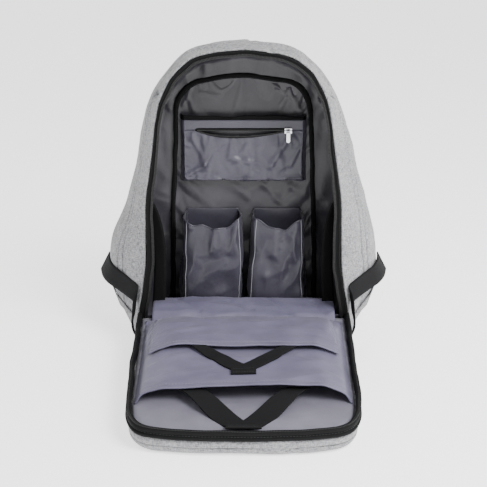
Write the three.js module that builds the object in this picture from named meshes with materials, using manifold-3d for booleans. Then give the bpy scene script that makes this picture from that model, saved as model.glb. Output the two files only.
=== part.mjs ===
// A day backpack that opens at its back. The padded body stands upright on its base, and the whole back
// panel is unzipped and folded down flat on the ground in front of it, with its laptop and tablet sleeves up.
// Millimetres, +Z up. The origin is on the ground, under the middle of the part. -Y is the open side.
import * as THREE from "three";
import { mergeVertices } from "three/addons/utils/BufferGeometryUtils.js";
import Module from "manifold-3d";

const wasm = await Module();
wasm.setup();
const { lerp, smoothstep } = THREE.MathUtils;

// The body
const BODY_DEPTH = 150;
const BODY_TOP = 412;
const BELLY_HALF = 189;
const SHELL_WALL = 5;
const OPENING_HALF = 141;
const OPENING_SILL = 42;
const OPENING_TOP = 402;
const RIM_MARGIN = 4;
const LINING_WALL = 1.5;
const CAVITY_DEPTH = 118;
const CAVITY_CORNER = 12;
const OPENING_ZIP_WIDTH = 10;
const OPENING_ZIP_THICK = 2;

// The clearance that sewn pieces keep from each other
const SEAM_GAP = 0.4;
// The shell and its lining are two faceted bowls, so they keep a little more
const BOWL_GAP = 0.7;

// What is sewn to the cavity's back wall
const BOARD_HALF = 104;
const BOARD_TOP = 356;
const BOARD_FOOT = 24;
const BOARD_THICK = 4;
const BINDING_WIDTH = 7;
const BINDING_THICK = 3;
const CLOTH = 1.6;
const FLAT_POCKET_HALF = 84;
const FLAT_POCKET_FOOT = 207;
const FLAT_POCKET_TOP = 295;
const FLAT_POCKET_PROUD = 14;
const FLAT_POCKET_TURN = 12;
const SLIP_LIP_HEIGHT = 7;
const DIVIDER_BACK = 5.4;
const DIVIDER_THICK = 1;
const DIVIDER_INSET = 4;
const SLIT_HALF = 64;
const SLIT_DROP = 8;
const SLIT_BELOW_TOP = 12;
const SLIT_TAPE_WIDTH = 3;
const SLIT_TAPE_THICK = 1.2;

// The slider at the slit's right end, and its hinged pull
const SLIDER_LENGTH = 10;
const SLIDER_HEIGHT = 7;
const SLIDER_THICK = 2.4;
const CROWN_RISE = 3.2;
const CROWN_WIRE = 1.4;
const PULL_LENGTH = 16;
const PULL_WIDTH = 5;
const PULL_THICK = 1.2;
const PULL_EYE = 2.8;

// The two pouches at the foot of the cavity
const POUCH_DEPTH = 60;
const POUCH_HEIGHT = 142;
const POUCH_WALL = 2.2;
const POUCH_OUTER_HALF = 88;
const POUCH_MIDDLE_GAP = 7;
const POUCH_SAG = 12;

// The ribbons that hold the panel to the body's sides, and the cloth that runs over the sill
const STAY_WIDTH = 17;
const STAY_TOP = 214;
const STAY_FOOT = 45.7;
const STAY_IN = 112;
const STAY_SEWN_AT = 34;
const SILL_CLOTH_HALF = 103;
const SILL_CLOTH_INWARD = 48;
const SILL_CLOTH_RISE = 8;
const SILL_CLOTH_DROP = 6;

// The fold-down panel: a pad that lies on the ground at its far end and rises to the hinge
const PANEL_HALF = 143;
const PANEL_LENGTH = 334;
const HINGE_GAP = 1;
const PAD_TOP_AT_HINGE = 38;
const PAD_TOP_AT_END = 20;
const PAD_FOOT_AT_HINGE = 27;
const PAD_LIES_FROM = 0.9;
const PANEL_ZIP_INSET = 0.5;
const PANEL_ZIP_WIDTH = 5;
const PANEL_ZIP_HEIGHT = 10.5;

// The sleeves on the panel
const SLEEVE_START = 16;
const SLEEVE_MOUTH = 250;
const SLEEVE_HALF = 128;
const SLEEVE_TAPER = 0.955;
const SLEEVE_RISE = 19;
const TABLET_START = 19;
const TABLET_MOUTH = 148;
const TABLET_HALF = 117;
const TABLET_RISE = 11;
const SLEEVE_CLOTH = 2.2;
const SLEEVE_BOW = 6;
const SLEEVE_STRAP_WIDTH = 26;
const SLEEVE_STRAP_REACH = 65;
const SLEEVE_STRAP_TIP = 20;
const SLEEVE_STRAP_END = 326;
const TABLET_STRAP_WIDTH = 15;
const TABLET_STRAP_TIP = 15;
const TABLET_STRAP_END = 226;
const STRAP_TUCK = 8;
const STRAP_CLIMB = 24;

// The carrying straps, which lie folded under the panel
const STRAP_THICK = 9;
const STRAP_UNDER_PAD = 1.2;
const STRAP_WIDTH = 58;
const STRAP_ROOT_AT = 236;
const STRAP_END_AT = 74;
const WEBBING_WIDTH = 25;
const WEBBING_THICK = 1.6;
const BUCKLE_LENGTH = 24;
const BUCKLE_WIDTH = 34;
const BUCKLE_HEIGHT = 5;
const BUCKLE_FRAME = 4;
const BUCKLE_X = 96;
const WEBBING_TOP = 109;
const WEBBING_OFF_BODY = 2.8;
const WEBBING_STAND_OFF = 12;
const WEBBING_AT_BUCKLE = 1.8;
const WING_DEPTH = 16;
const WING_NEAR = 0.107;
const WING_BELOW_WEBBING = 5;
const WING_DROP = 40;
const WING_OFF_BODY = 1.7;

const ARCH_STEPS = 40;
const BASE_STEPS = 6;

// Half the outline of the body: how far out it is at each height, at the opening and at the belly
const bodyOutline = [
  { up: 0.0, opening: 1.0, belly: 0.7 },
  { up: 0.015, opening: 0.998, belly: 0.775 },
  { up: 0.06, opening: 0.985, belly: 0.872 },
  { up: 0.14, opening: 0.945, belly: 0.965 },
  { up: 0.22, opening: 0.918, belly: 1.0 },
  { up: 0.34, opening: 0.908, belly: 0.97 },
  { up: 0.46, opening: 0.9, belly: 0.9 },
  { up: 0.58, opening: 0.858, belly: 0.83 },
  { up: 0.7, opening: 0.815, belly: 0.758 },
  { up: 0.8, opening: 0.773, belly: 0.678 },
  { up: 0.88, opening: 0.69, belly: 0.58 },
  { up: 0.94, opening: 0.565, belly: 0.46 },
  { up: 0.98, opening: 0.39, belly: 0.31 },
  { up: 1.0, opening: 0.0, belly: 0.0 },
];

// Sections of the body from the opening to its closed front: shares of BODY_DEPTH, of the way from the
// opening's form to the belly's, of the belly's width, of the body's height and of the sill's height
const bodySections = [
  { depth: 0.0, belly: 0.0, wide: 1.0, high: 1.0, sill: 1.0 },
  { depth: 0.04, belly: 0.17, wide: 1.0, high: 1.0, sill: 0.34 },
  { depth: 0.14, belly: 0.48, wide: 1.0, high: 1.0, sill: 0.04 },
  { depth: 0.3, belly: 0.84, wide: 1.0, high: 1.0, sill: 0.0 },
  { depth: 0.5, belly: 1.0, wide: 1.0, high: 0.99, sill: 0.0 },
  { depth: 0.66, belly: 1.0, wide: 0.985, high: 0.97, sill: 0.0 },
  { depth: 0.8, belly: 1.0, wide: 0.94, high: 0.93, sill: 0.0 },
  { depth: 0.9, belly: 1.0, wide: 0.86, high: 0.87, sill: 0.06 },
  { depth: 0.97, belly: 1.0, wide: 0.73, high: 0.79, sill: 0.3 },
  { depth: 1.0, belly: 1.0, wide: 0.5, high: 0.68, sill: 0.9 },
];

// Half the outline of the board in the cavity, whose top is a flat arch
const boardOutline = [
  { up: 0.0, across: 1.0 },
  { up: 0.28, across: 0.99 },
  { up: 0.62, across: 0.945 },
  { up: 0.84, across: 0.92 },
  { up: 0.92, across: 0.845 },
  { up: 0.965, across: 0.7 },
  { up: 0.985, across: 0.46 },
  { up: 1.0, across: 0.0 },
];

// Half the outline of the panel from its hinge to its far end
const panelOutline = [
  { up: 0.0, across: 1.0 },
  { up: 0.39, across: 0.975 },
  { up: 0.69, across: 0.953 },
  { up: 0.84, across: 0.925 },
  { up: 0.91, across: 0.88 },
  { up: 0.955, across: 0.8 },
  { up: 0.98, across: 0.66 },
  { up: 0.997, across: 0.36 },
  { up: 1.0, across: 0.0 },
];

// Half profile of the pad's edge, from the ground up, and how far each row is taken in
const padRows = [
  { up: 0.0, inset: 15 },
  { up: 0.25, inset: 6 },
  { up: 0.65, inset: 2 },
  { up: 1.0, inset: 2.5 },
];

// A pouch from its foot to its mouth, in shares of its height, half width and depth
const pouchRows = [
  { up: 0.0, wide: 0.94, deep: 0.86 },
  { up: 0.2, wide: 1.0, deep: 1.0 },
  { up: 0.6, wide: 0.99, deep: 0.98 },
  { up: 1.0, wide: 0.93, deep: 0.88 },
];

// Builds a geometry from vertices and triangles, turned so that its faces point out
function solid(vertices, triangles) {
  let volume = 0;
  for (const [a, b, c] of triangles) {
    volume += vertices[a].dot(new THREE.Vector3().crossVectors(vertices[b], vertices[c]));
  }
  const index = triangles.flatMap(([a, b, c]) => (volume < 0 ? [a, c, b] : [a, b, c]));
  return new THREE.BufferGeometry().setFromPoints(vertices).setIndex(index);
}

// Joins closed rings of equal length into one body, with its first and last ring capped
function loft(rings) {
  const count = rings[0].length;
  const vertices = rings.flat();
  const triangles = [];
  for (let r = 0; r + 1 < rings.length; r++) {
    for (let i = 0; i < count; i++) {
      const a = r * count + i;
      const b = r * count + ((i + 1) % count);
      triangles.push([a, b, b + count], [a, b + count, a + count]);
    }
  }
  const last = (rings.length - 1) * count;
  [rings[0], rings[rings.length - 1]].forEach((ring, end) => {
    const middle = ring.reduce((sum, p) => sum.add(p), new THREE.Vector3()).divideScalar(count);
    vertices.push(middle);
    for (let i = 0; i < count; i++) {
      const a = (end ? last : 0) + i;
      const b = (end ? last : 0) + ((i + 1) % count);
      triangles.push(end ? [a, b, vertices.length - 1] : [b, a, vertices.length - 1]);
    }
  });
  return solid(vertices, triangles);
}

// A sheet of cloth: place(u, v) gives its lower face, and its upper face lies one thickness above that
function sheet(place, thickness, across, along) {
  const step = 1e-3;
  const lower = [];
  const upper = [];
  for (let j = 0; j <= along; j++) {
    for (let i = 0; i <= across; i++) {
      const u = i / across;
      const v = j / along;
      const here = place(u, v);
      const overU = place(Math.min(u + step, 1), v).sub(place(Math.max(u - step, 0), v));
      const overV = place(u, Math.min(v + step, 1)).sub(place(u, Math.max(v - step, 0)));
      const normal = overU.cross(overV).normalize();
      lower.push(here);
      upper.push(here.clone().addScaledVector(normal, thickness));
    }
  }
  const row = across + 1;
  const top = lower.length;
  const triangles = [];
  for (let j = 0; j < along; j++) {
    for (let i = 0; i < across; i++) {
      const a = j * row + i;
      triangles.push([a, a + row + 1, a + 1], [a, a + row, a + row + 1]);
      triangles.push([top + a, top + a + 1, top + a + row + 1], [top + a, top + a + row + 1, top + a + row]);
    }
  }
  const edge = [];
  for (let i = 0; i < across; i++) edge.push(i);
  for (let j = 0; j < along; j++) edge.push(j * row + across);
  for (let i = across; i > 0; i--) edge.push(along * row + i);
  for (let j = along; j > 0; j--) edge.push(j * row);
  edge.forEach((a, k) => {
    const b = edge[(k + 1) % edge.length];
    triangles.push([a, b, top + b], [a, top + b, top + a]);
  });
  return solid([...lower, ...upper], triangles);
}

// A flat strap whose two edges run through the rows' points
function ribbon(rows, width, thickness, steps) {
  const edges = [-0.5, 0.5].map(
    (side) => new THREE.CatmullRomCurve3(
      rows.map(({ at, across }) => at.clone().addScaledVector(across.clone().normalize(), side * width)),
    ),
  );
  return sheet((u, v) => edges[0].getPoint(v).lerp(edges[1].getPoint(v), u), thickness, 1, steps);
}

// An arch from its right foot over its crown to its left foot
function arch(rows, half, foot, crown, steps = ARCH_STEPS) {
  const right = rows.map(({ up, across }) => new THREE.Vector2(half * across, lerp(foot, crown, up)));
  const left = right.slice(0, -1).reverse().map((p) => new THREE.Vector2(-p.x, p.y));
  return new THREE.SplineCurve([...right, ...left]).getSpacedPoints(steps);
}

// The same arch closed along its base
function closedArch(rows, half, foot, crown) {
  const over = arch(rows, half, foot, crown);
  const from = over[over.length - 1];
  const base = [];
  for (let i = 1; i < BASE_STEPS; i++) {
    base.push(from.clone().lerp(over[0], i / BASE_STEPS));
  }
  return [...over, ...base];
}

// A flat band of rectangular section between two arches, from one depth to another
function band(outer, inner, near, far, place) {
  return loft(outer.map((p, i) => [place(p, near), place(inner[i], near), place(inner[i], far), place(p, far)]));
}

// A three.js solid as a manifold and back, for cuts and joins
function toManifold(geometry) {
  const bare = geometry.clone();
  bare.deleteAttribute("normal");
  bare.deleteAttribute("uv");
  const merged = mergeVertices(bare, 1e-4);
  return new wasm.Manifold(new wasm.Mesh({
    numProp: 3,
    vertProperties: merged.attributes.position.array,
    triVerts: new Uint32Array(merged.index.array),
  }));
}

function fromManifold(made) {
  const mesh = made.getMesh();
  return new THREE.BufferGeometry()
    .setAttribute("position", new THREE.BufferAttribute(new Float32Array(mesh.vertProperties), 3))
    .setIndex(new THREE.BufferAttribute(new Uint32Array(mesh.triVerts), 1));
}

const onWall = (p, y) => new THREE.Vector3(p.x, y, p.y);

// The body's columns at one depth, worked out between the two nearest sections
function sectionAt(y) {
  const share = y / BODY_DEPTH;
  const next = Math.max(1, bodySections.findIndex(({ depth }) => depth >= share - 1e-9));
  const a = bodySections[next - 1];
  const b = bodySections[next];
  const t = (share - a.depth) / (b.depth - a.depth);
  const mixed = (name) => lerp(a[name], b[name], t);
  return { belly: mixed("belly"), wide: mixed("wide"), high: mixed("high"), sill: mixed("sill") };
}

// One ring of the body's outer face at depth y
function bodyRing(y) {
  const { belly, wide, high, sill } = sectionAt(y);
  const half = lerp(OPENING_HALF + RIM_MARGIN, BELLY_HALF, belly) * wide;
  const top = lerp(OPENING_TOP + RIM_MARGIN, BODY_TOP, belly) * high;
  const bottom = (OPENING_SILL - RIM_MARGIN) * sill;
  const rows = bodyOutline.map((r) => ({ up: r.up, across: lerp(r.opening, r.belly, belly) }));
  return closedArch(rows, half, bottom, top).map((p) => onWall(p, y));
}

const bodyRings = bodySections.map(({ depth }) => bodyRing(depth * BODY_DEPTH));

// The body's rings taken in by a distance along the surface's normal; the mouth stays in its plane
function takenIn(distance) {
  return bodyRings.map((ring, r) => ring.map((p, i) => {
    const next = ring[(i + 1) % ring.length];
    const previous = ring[(i + ring.length - 1) % ring.length];
    const ahead = next.clone().sub(p).normalize();
    const behind = p.clone().sub(previous).normalize();
    const along = ahead.clone().add(behind).normalize();
    const miter = 1 / Math.max(0.6, ahead.dot(along));
    const deeper = bodyRings[Math.min(r + 1, bodyRings.length - 1)][i];
    const nearer = bodyRings[Math.max(r - 1, 0)][i];
    const normal = new THREE.Vector3().crossVectors(along, deeper.clone().sub(nearer));
    if (r === 0) normal.y = 0;
    return p.clone().addScaledVector(normal.normalize(), distance * miter);
  }));
}

const LINING_INSET = SHELL_WALL + BOWL_GAP;
const CAVITY_INSET = LINING_INSET + LINING_WALL;

function makeShell() {
  return loft([...takenIn(SHELL_WALL).reverse(), ...bodyRings]);
}

// A ring drawn towards its middle in its own plane
function shrunk(ring, distance) {
  const middle = ring.reduce((sum, p) => sum.add(p), new THREE.Vector3()).divideScalar(ring.length);
  return ring.map((p) => p.clone().addScaledVector(middle.clone().sub(p).normalize(), distance));
}

function makeLining() {
  const hugging = bodySections.filter(({ depth }) => depth * BODY_DEPTH < CAVITY_DEPTH - CAVITY_CORNER).length;
  const skin = (inset, back) => [
    ...takenIn(inset).slice(0, hugging),
    shrunk(bodyRing(back - CAVITY_CORNER / 2), inset + CAVITY_CORNER / 3).map((p) => p.setY(back - CAVITY_CORNER / 2)),
    shrunk(bodyRing(back), inset + CAVITY_CORNER),
  ];
  return loft([...skin(LINING_INSET, CAVITY_DEPTH + LINING_WALL).reverse(), ...skin(CAVITY_INSET, CAVITY_DEPTH)]);
}

// The arch of the opening, for its zip
function openingArch(inset) {
  const rows = bodyOutline.map((r) => ({ up: r.up, across: r.opening }));
  return arch(rows, OPENING_HALF - inset, OPENING_SILL, OPENING_TOP - inset);
}

function makeOpeningZip() {
  const far = -SEAM_GAP;
  return band(openingArch(0), openingArch(OPENING_ZIP_WIDTH), far - OPENING_ZIP_THICK, far, onWall);
}

const BOARD_BACK = CAVITY_DEPTH - SEAM_GAP;
const BOARD_FACE = BOARD_BACK - BOARD_THICK;
const SEWN_ON = BOARD_FACE - SEAM_GAP;

function makeBoard() {
  const outline = closedArch(boardOutline, BOARD_HALF, BOARD_FOOT, BOARD_TOP);
  return loft([BOARD_FACE, BOARD_BACK].map((y) => outline.map((p) => onWall(p, y))));
}

function makeBoardBinding() {
  const edge = (inset) => arch(boardOutline, BOARD_HALF - inset, BOARD_FOOT, BOARD_TOP - inset);
  return band(edge(0), edge(BINDING_WIDTH), SEWN_ON - BINDING_THICK, SEWN_ON, onWall);
}

const POCKET_FACE = SEWN_ON - FLAT_POCKET_PROUD;
const SLIT_Z = FLAT_POCKET_TOP - SLIT_BELOW_TOP - SLIT_TAPE_WIDTH;

// The slit's outline: straight above, sagging below, widened all round by grow
function slitShape(grow) {
  const half = SLIT_HALF + grow;
  const shape = new THREE.Shape();
  shape.moveTo(-half, SLIT_Z);
  shape.quadraticCurveTo(-half, SLIT_Z + grow, -half + grow + 2, SLIT_Z + grow);
  shape.lineTo(half - grow - 2, SLIT_Z + grow);
  shape.quadraticCurveTo(half, SLIT_Z + grow, half, SLIT_Z);
  shape.quadraticCurveTo(-half / 3, SLIT_Z - 2 * SLIT_DROP - 1.6 * grow, -half, SLIT_Z);
  return shape;
}

// Extrudes a shape drawn in X and Z so that it runs from y = near to y = far
function extrudeBack(shape, near, far) {
  const made = new THREE.ExtrudeGeometry(shape, { depth: far - near, bevelEnabled: false, curveSegments: 10 });
  return made.rotateX(Math.PI / 2).translate(0, far, 0);
}

// Spreads the steps of a sheet so that they lie closer at its two edges
const closerAtEdges = (u) => (1 - Math.cos(Math.PI * u)) / 2;

// How far the flat pocket's cloth has turned out from the board at distance fromEdge from its edge
const turnedOut = (fromEdge) => Math.sqrt(THREE.MathUtils.clamp(fromEdge / FLAT_POCKET_TURN, 0, 1));
const pocketX = (u) => lerp(-FLAT_POCKET_HALF, FLAT_POCKET_HALF, closerAtEdges(u));
const fromSide = (x) => FLAT_POCKET_HALF - Math.abs(x);

// The flat pocket's cloth: level in the middle and turned back to the board at its sides and its foot
function makeFlatPocket() {
  const place = (u, v) => {
    const x = pocketX(u);
    const z = lerp(FLAT_POCKET_FOOT, FLAT_POCKET_TOP, closerAtEdges(v));
    const out = turnedOut(Math.min(fromSide(x), z - FLAT_POCKET_FOOT));
    return new THREE.Vector3(x, lerp(SEWN_ON, POCKET_FACE + CLOTH, out), z);
  };
  const cloth = toManifold(sheet(place, CLOTH, 18, 8));
  const slit = toManifold(extrudeBack(slitShape(0), POCKET_FACE - CLOTH * 2, SEWN_ON));
  return fromManifold(cloth.subtract(slit));
}

// The cloth between the zip pocket and the slip pocket behind it, sewn to the flat pocket's top edge
function makeDivider() {
  const inner = FLAT_POCKET_HALF - DIVIDER_INSET;
  const place = (u, v) => {
    const x = lerp(-inner, inner, closerAtEdges(u));
    const z = lerp(FLAT_POCKET_FOOT + DIVIDER_INSET, FLAT_POCKET_TOP - SEAM_GAP, closerAtEdges(v));
    const out = turnedOut(Math.min(inner - Math.abs(x), z - FLAT_POCKET_FOOT - DIVIDER_INSET));
    const back = lerp(SEWN_ON, POCKET_FACE + CLOTH + DIVIDER_BACK + DIVIDER_THICK, out);
    const sewn = lerp(SEWN_ON, POCKET_FACE + CLOTH + SEAM_GAP + DIVIDER_THICK, out);
    return new THREE.Vector3(x, lerp(back, sewn, smoothstep(v, 0.84, 1)), z);
  };
  return sheet(place, DIVIDER_THICK, 14, 8);
}

const TAPE_BACK = POCKET_FACE - SEAM_GAP;
const TAPE_FACE = TAPE_BACK - SLIT_TAPE_THICK;

function makeSlitTape() {
  const ring = toManifold(extrudeBack(slitShape(SLIT_TAPE_WIDTH), TAPE_FACE, TAPE_BACK));
  const hole = toManifold(extrudeBack(slitShape(0), TAPE_FACE - 1, TAPE_BACK + 1));
  return fromManifold(ring.subtract(hole));
}

// The black lip of the slip pocket, above the flat pocket's top edge
function makeSlipLip() {
  const place = (u, v) => {
    const x = pocketX(u);
    const out = turnedOut(fromSide(x));
    const z = FLAT_POCKET_TOP + SEAM_GAP + SLIP_LIP_HEIGHT * v;
    return new THREE.Vector3(x, lerp(SEWN_ON, POCKET_FACE + CLOTH, out), z);
  };
  return sheet(place, CLOTH, 14, 2);
}

const SLIDER_X = SLIT_HALF - SLIDER_LENGTH / 2 + SLIT_TAPE_WIDTH;
const SLIDER_FACE = TAPE_FACE - SEAM_GAP - SLIDER_THICK;
const CROWN_Y = SLIDER_FACE - CROWN_RISE + CROWN_WIRE / 2;

// The slider: a plate with a bar across two posts, the crown that the pull hangs on
function makeSlider() {
  const plate = new THREE.BoxGeometry(SLIDER_LENGTH, SLIDER_THICK, SLIDER_HEIGHT)
    .translate(SLIDER_X, SLIDER_FACE + SLIDER_THICK / 2, SLIT_Z);
  const bar = new THREE.BoxGeometry(SLIDER_LENGTH, CROWN_WIRE, CROWN_WIRE).translate(SLIDER_X, CROWN_Y, SLIT_Z);
  const posts = [-1, 1].map((side) => new THREE.BoxGeometry(CROWN_WIRE, CROWN_RISE, CROWN_WIRE)
    .translate(SLIDER_X + side * (SLIDER_LENGTH - CROWN_WIRE) / 2, SLIDER_FACE - CROWN_RISE / 2 + 0.2, SLIT_Z));
  return fromManifold([bar, ...posts].reduce((sum, g) => sum.add(toManifold(g)), toManifold(plate)));
}

// The pull: a flat tongue with a round eye over the crown, hanging straight down
function makePull() {
  const eye = PULL_EYE / 2;
  const ring = eye + PULL_THICK * 0.8;
  const half = PULL_WIDTH / 2;
  const tongue = new THREE.Shape();
  tongue.moveTo(-half, -ring / 2);
  tongue.lineTo(-half, -PULL_LENGTH + half);
  tongue.absarc(0, -PULL_LENGTH + half, half, Math.PI, 2 * Math.PI, false);
  tongue.lineTo(half, -ring / 2);
  const turned = new THREE.CylinderGeometry(ring, ring, PULL_WIDTH, 20).rotateZ(Math.PI / 2);
  const bore = new THREE.CylinderGeometry(eye, eye, PULL_WIDTH * 2, 20).rotateZ(Math.PI / 2);
  const plate = toManifold(extrudeBack(tongue, -PULL_THICK / 2, PULL_THICK / 2));
  return fromManifold(plate.add(toManifold(turned)).subtract(toManifold(bore)))
    .translate(SLIDER_X, CROWN_Y, SLIT_Z);
}

// One open pouch: a cup with a soft square plan, whose mouth sags in the middle of its front
function makePouch(left, right) {
  const middle = (left + right) / 2;
  const half = (right - left) / 2;
  const steps = 24;
  const square = (value) => Math.sign(value) * Math.abs(value) ** 0.3;
  const ring = ({ up, wide, deep }, inset) => Array.from({ length: steps }, (_, i) => {
    const turn = (i / steps) * 2 * Math.PI;
    const sx = square(Math.cos(turn));
    const sy = square(Math.sin(turn));
    const x = middle + (half * wide - inset) * sx;
    const y = SEWN_ON - (POUCH_DEPTH * deep) / 2 + ((POUCH_DEPTH * deep) / 2 - inset) * sy;
    const sag = up === 1 && sy < 0 ? POUCH_SAG * (1 - sx * sx) : 0;
    return new THREE.Vector3(x, y, BOARD_FOOT + POUCH_HEIGHT * up + (up === 0 ? inset : 0) - sag);
  });
  return loft([
    ...[...pouchRows].reverse().map((row) => ring(row, 0)).reverse(),
    ...[...pouchRows].reverse().map((row) => ring(row, POUCH_WALL)),
  ]);
}

// How far out the body's face is at depth y and height z
function bodyHalfAt(y, z) {
  const ring = bodyRing(THREE.MathUtils.clamp(y, 0, BODY_DEPTH));
  for (let i = 0; i < ARCH_STEPS / 2; i++) {
    if (ring[i].z <= z && ring[i + 1].z >= z) {
      return lerp(ring[i].x, ring[i + 1].x, (z - ring[i].z) / (ring[i + 1].z - ring[i].z));
    }
  }
  return ring[0].x;
}

// The course of a stay: shares of the way out from STAY_IN to the wall, of STAY_SEWN_AT and of the way up,
// and how far the ribbon turns
const stayCourse = [
  { out: 1.0, deep: 1.0, up: 1.0, turn: 0.5 },
  { out: 0.29, deep: 0.647, up: 0.72, turn: 0.3 },
  { out: 0.0, deep: 0.47, up: 0.36, turn: 0.1 },
  { out: 0.1, deep: 0.018, up: 0.0, turn: 0.0 },
];

// A ribbon inside the body's mouth, from its side wall down to the panel's corner
function makeStay(side) {
  const wall = bodyHalfAt(STAY_SEWN_AT, STAY_TOP) - CAVITY_INSET - STAY_WIDTH * 0.45 - SEAM_GAP;
  return ribbon(stayCourse.map(({ out, deep, up, turn }) => ({
    at: new THREE.Vector3(side * lerp(STAY_IN, wall, out), deep * STAY_SEWN_AT, lerp(STAY_FOOT, STAY_TOP, up)),
    across: new THREE.Vector3(side, turn, 0),
  })), STAY_WIDTH, WEBBING_THICK, 10);
}

const panelShare = (y) => THREE.MathUtils.clamp(-y / PANEL_LENGTH, 0, 1);
const padTop = (y) => lerp(PAD_TOP_AT_HINGE, PAD_TOP_AT_END, panelShare(y));
const padFoot = (y) => lerp(PAD_FOOT_AT_HINGE, 0, Math.min(panelShare(y) / PAD_LIES_FROM, 1));

// A ring of the panel's outline, taken in by inset, whose height is given by level(y)
const panelRing = (inset, level) =>
  closedArch(panelOutline, PANEL_HALF - inset, HINGE_GAP, PANEL_LENGTH - inset)
    .map((p) => new THREE.Vector3(p.x, -p.y, level(-p.y)));

function makePad() {
  return loft(padRows.map(({ up, inset }) => panelRing(inset, (y) => lerp(padFoot(y), padTop(y), up))));
}

// The panel's lining, laid flat inside the zip
function makePanelLining() {
  const inset = PANEL_ZIP_INSET + PANEL_ZIP_WIDTH + SEAM_GAP;
  return loft([SEAM_GAP, SEAM_GAP + CLOTH].map((above) => panelRing(inset, (y) => padTop(y) + above)));
}

// The panel's half of the zip: an upright band on the pad's edge, which stops short of the opening's zip
function makePanelZip() {
  const start = OPENING_ZIP_THICK + 3 * SEAM_GAP;
  const edge = (inset) => arch(panelOutline, PANEL_HALF - inset, start, PANEL_LENGTH - inset);
  const place = (p, above) => new THREE.Vector3(p.x, -p.y, padTop(-p.y) + above);
  return band(edge(PANEL_ZIP_INSET), edge(PANEL_ZIP_INSET + PANEL_ZIP_WIDTH),
    SEAM_GAP, SEAM_GAP + PANEL_ZIP_HEIGHT, place);
}

const liningTop = (y) => padTop(y) + SEAM_GAP + CLOTH;

// The cloth that runs from the cavity's floor over the sill onto the panel
function makeSillCloth() {
  const over = OPENING_SILL - RIM_MARGIN + CAVITY_INSET + 2;
  const rows = [
    new THREE.Vector2(SILL_CLOTH_INWARD, over + SILL_CLOTH_RISE - SILL_CLOTH_DROP),
    new THREE.Vector2(SILL_CLOTH_INWARD * 0.63, over + SILL_CLOTH_RISE - SILL_CLOTH_DROP * 0.2),
    new THREE.Vector2(SILL_CLOTH_INWARD * 0.25, over + SILL_CLOTH_RISE * 0.6),
    new THREE.Vector2(1, over),
    new THREE.Vector2(-SLEEVE_START * 0.4, over - 2.2),
    new THREE.Vector2(-SLEEVE_START + 2, liningTop(-SLEEVE_START) + SEAM_GAP),
  ];
  const path = new THREE.SplineCurve(rows);
  const place = (u, v) => {
    const p = path.getPoint(v);
    return new THREE.Vector3(lerp(SILL_CLOTH_HALF, -SILL_CLOTH_HALF, u), p.x, p.y);
  };
  return sheet(place, CLOTH, 8, 12);
}

// How high a sleeve's sheet stands over what it is sewn to, at share u across it and share v along it
function sleeveRise(u, v, rise) {
  const side = 1 - Math.abs(2 * u - 1) ** 6;
  return rise * Math.sqrt(Math.max(side, 0)) * smoothstep(v, 0, 0.35) ** 0.7;
}

// The laptop sleeve's lower face, and the tablet sleeve's lower face above it
function sleevePoint(u, v) {
  const x = lerp(SLEEVE_HALF, -SLEEVE_HALF, u) * lerp(1, SLEEVE_TAPER, v);
  const bow = SLEEVE_BOW * v * (1 - (2 * u - 1) ** 2);
  const y = -lerp(SLEEVE_START, SLEEVE_MOUTH - bow, v);
  return new THREE.Vector3(x, y, liningTop(y) + SEAM_GAP + sleeveRise(u, v, SLEEVE_RISE));
}

function sleeveTop(x, y) {
  const v = THREE.MathUtils.clamp((-y - SLEEVE_START) / (SLEEVE_MOUTH - SLEEVE_START), 0, 1);
  const u = 0.5 - x / (2 * SLEEVE_HALF * lerp(1, SLEEVE_TAPER, v));
  return sleevePoint(u, v).z + SLEEVE_CLOTH;
}

function tabletPoint(u, v) {
  const x = lerp(TABLET_HALF, -TABLET_HALF, u);
  const bow = SLEEVE_BOW * v * (1 - (2 * u - 1) ** 2);
  const y = -lerp(TABLET_START, TABLET_MOUTH - bow, v);
  return new THREE.Vector3(x, y, sleeveTop(x, y) + 2 * SEAM_GAP + sleeveRise(u, v, TABLET_RISE));
}

const makeSleeve = () => sheet((u, v) => sleevePoint(closerAtEdges(u), v), SLEEVE_CLOTH, 16, 9);
const makeTabletSleeve = () => sheet((u, v) => tabletPoint(closerAtEdges(u), v), CLOTH, 16, 7);

// A strap in the plan form of a V, whose two arms come from under a sleeve's mouth and meet in a tip
function makeSleeveStrap(from, to, reach, width, tip, level) {
  const shape = new THREE.Shape();
  shape.moveTo(-reach - width / 2, from);
  shape.lineTo(-reach + width / 2, from);
  shape.lineTo(0, lerp(from, to, 0.62));
  shape.lineTo(reach - width / 2, from);
  shape.lineTo(reach + width / 2, from);
  shape.lineTo(tip, lerp(from, to, 0.82));
  shape.lineTo(tip, to);
  shape.lineTo(-tip, to);
  shape.lineTo(-tip, lerp(from, to, 0.82));
  const plan = new THREE.ExtrudeGeometry(shape, { depth: 120, bevelEnabled: false }).rotateX(Math.PI);
  const place = (u, v) => {
    const x = lerp(reach + width, -reach - width, u);
    const y = -lerp(from - 3, to + 3, v);
    return new THREE.Vector3(x, y, level(x, y));
  };
  const cloth = toManifold(sheet(place, CLOTH, 6, 11));
  return fromManifold(cloth.intersect(toManifold(plan.translate(0, 0, 110))));
}

// The laptop strap: under the sleeve's mouth, down to the lining and up to the rim that it is sewn to
function sleeveStrapLevel(x, y) {
  const t = smoothstep(-y, SLEEVE_MOUTH - SLEEVE_BOW, SLEEVE_MOUTH + 44);
  const climb = smoothstep(-y, SLEEVE_STRAP_END - STRAP_CLIMB, SLEEVE_STRAP_END) * (PANEL_ZIP_HEIGHT - 3);
  const high = sleeveTop(x, y) - SLEEVE_CLOTH - SEAM_GAP - CLOTH - 0.6;
  return lerp(high, liningTop(y) + 2 * SEAM_GAP + climb, t);
}

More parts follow.
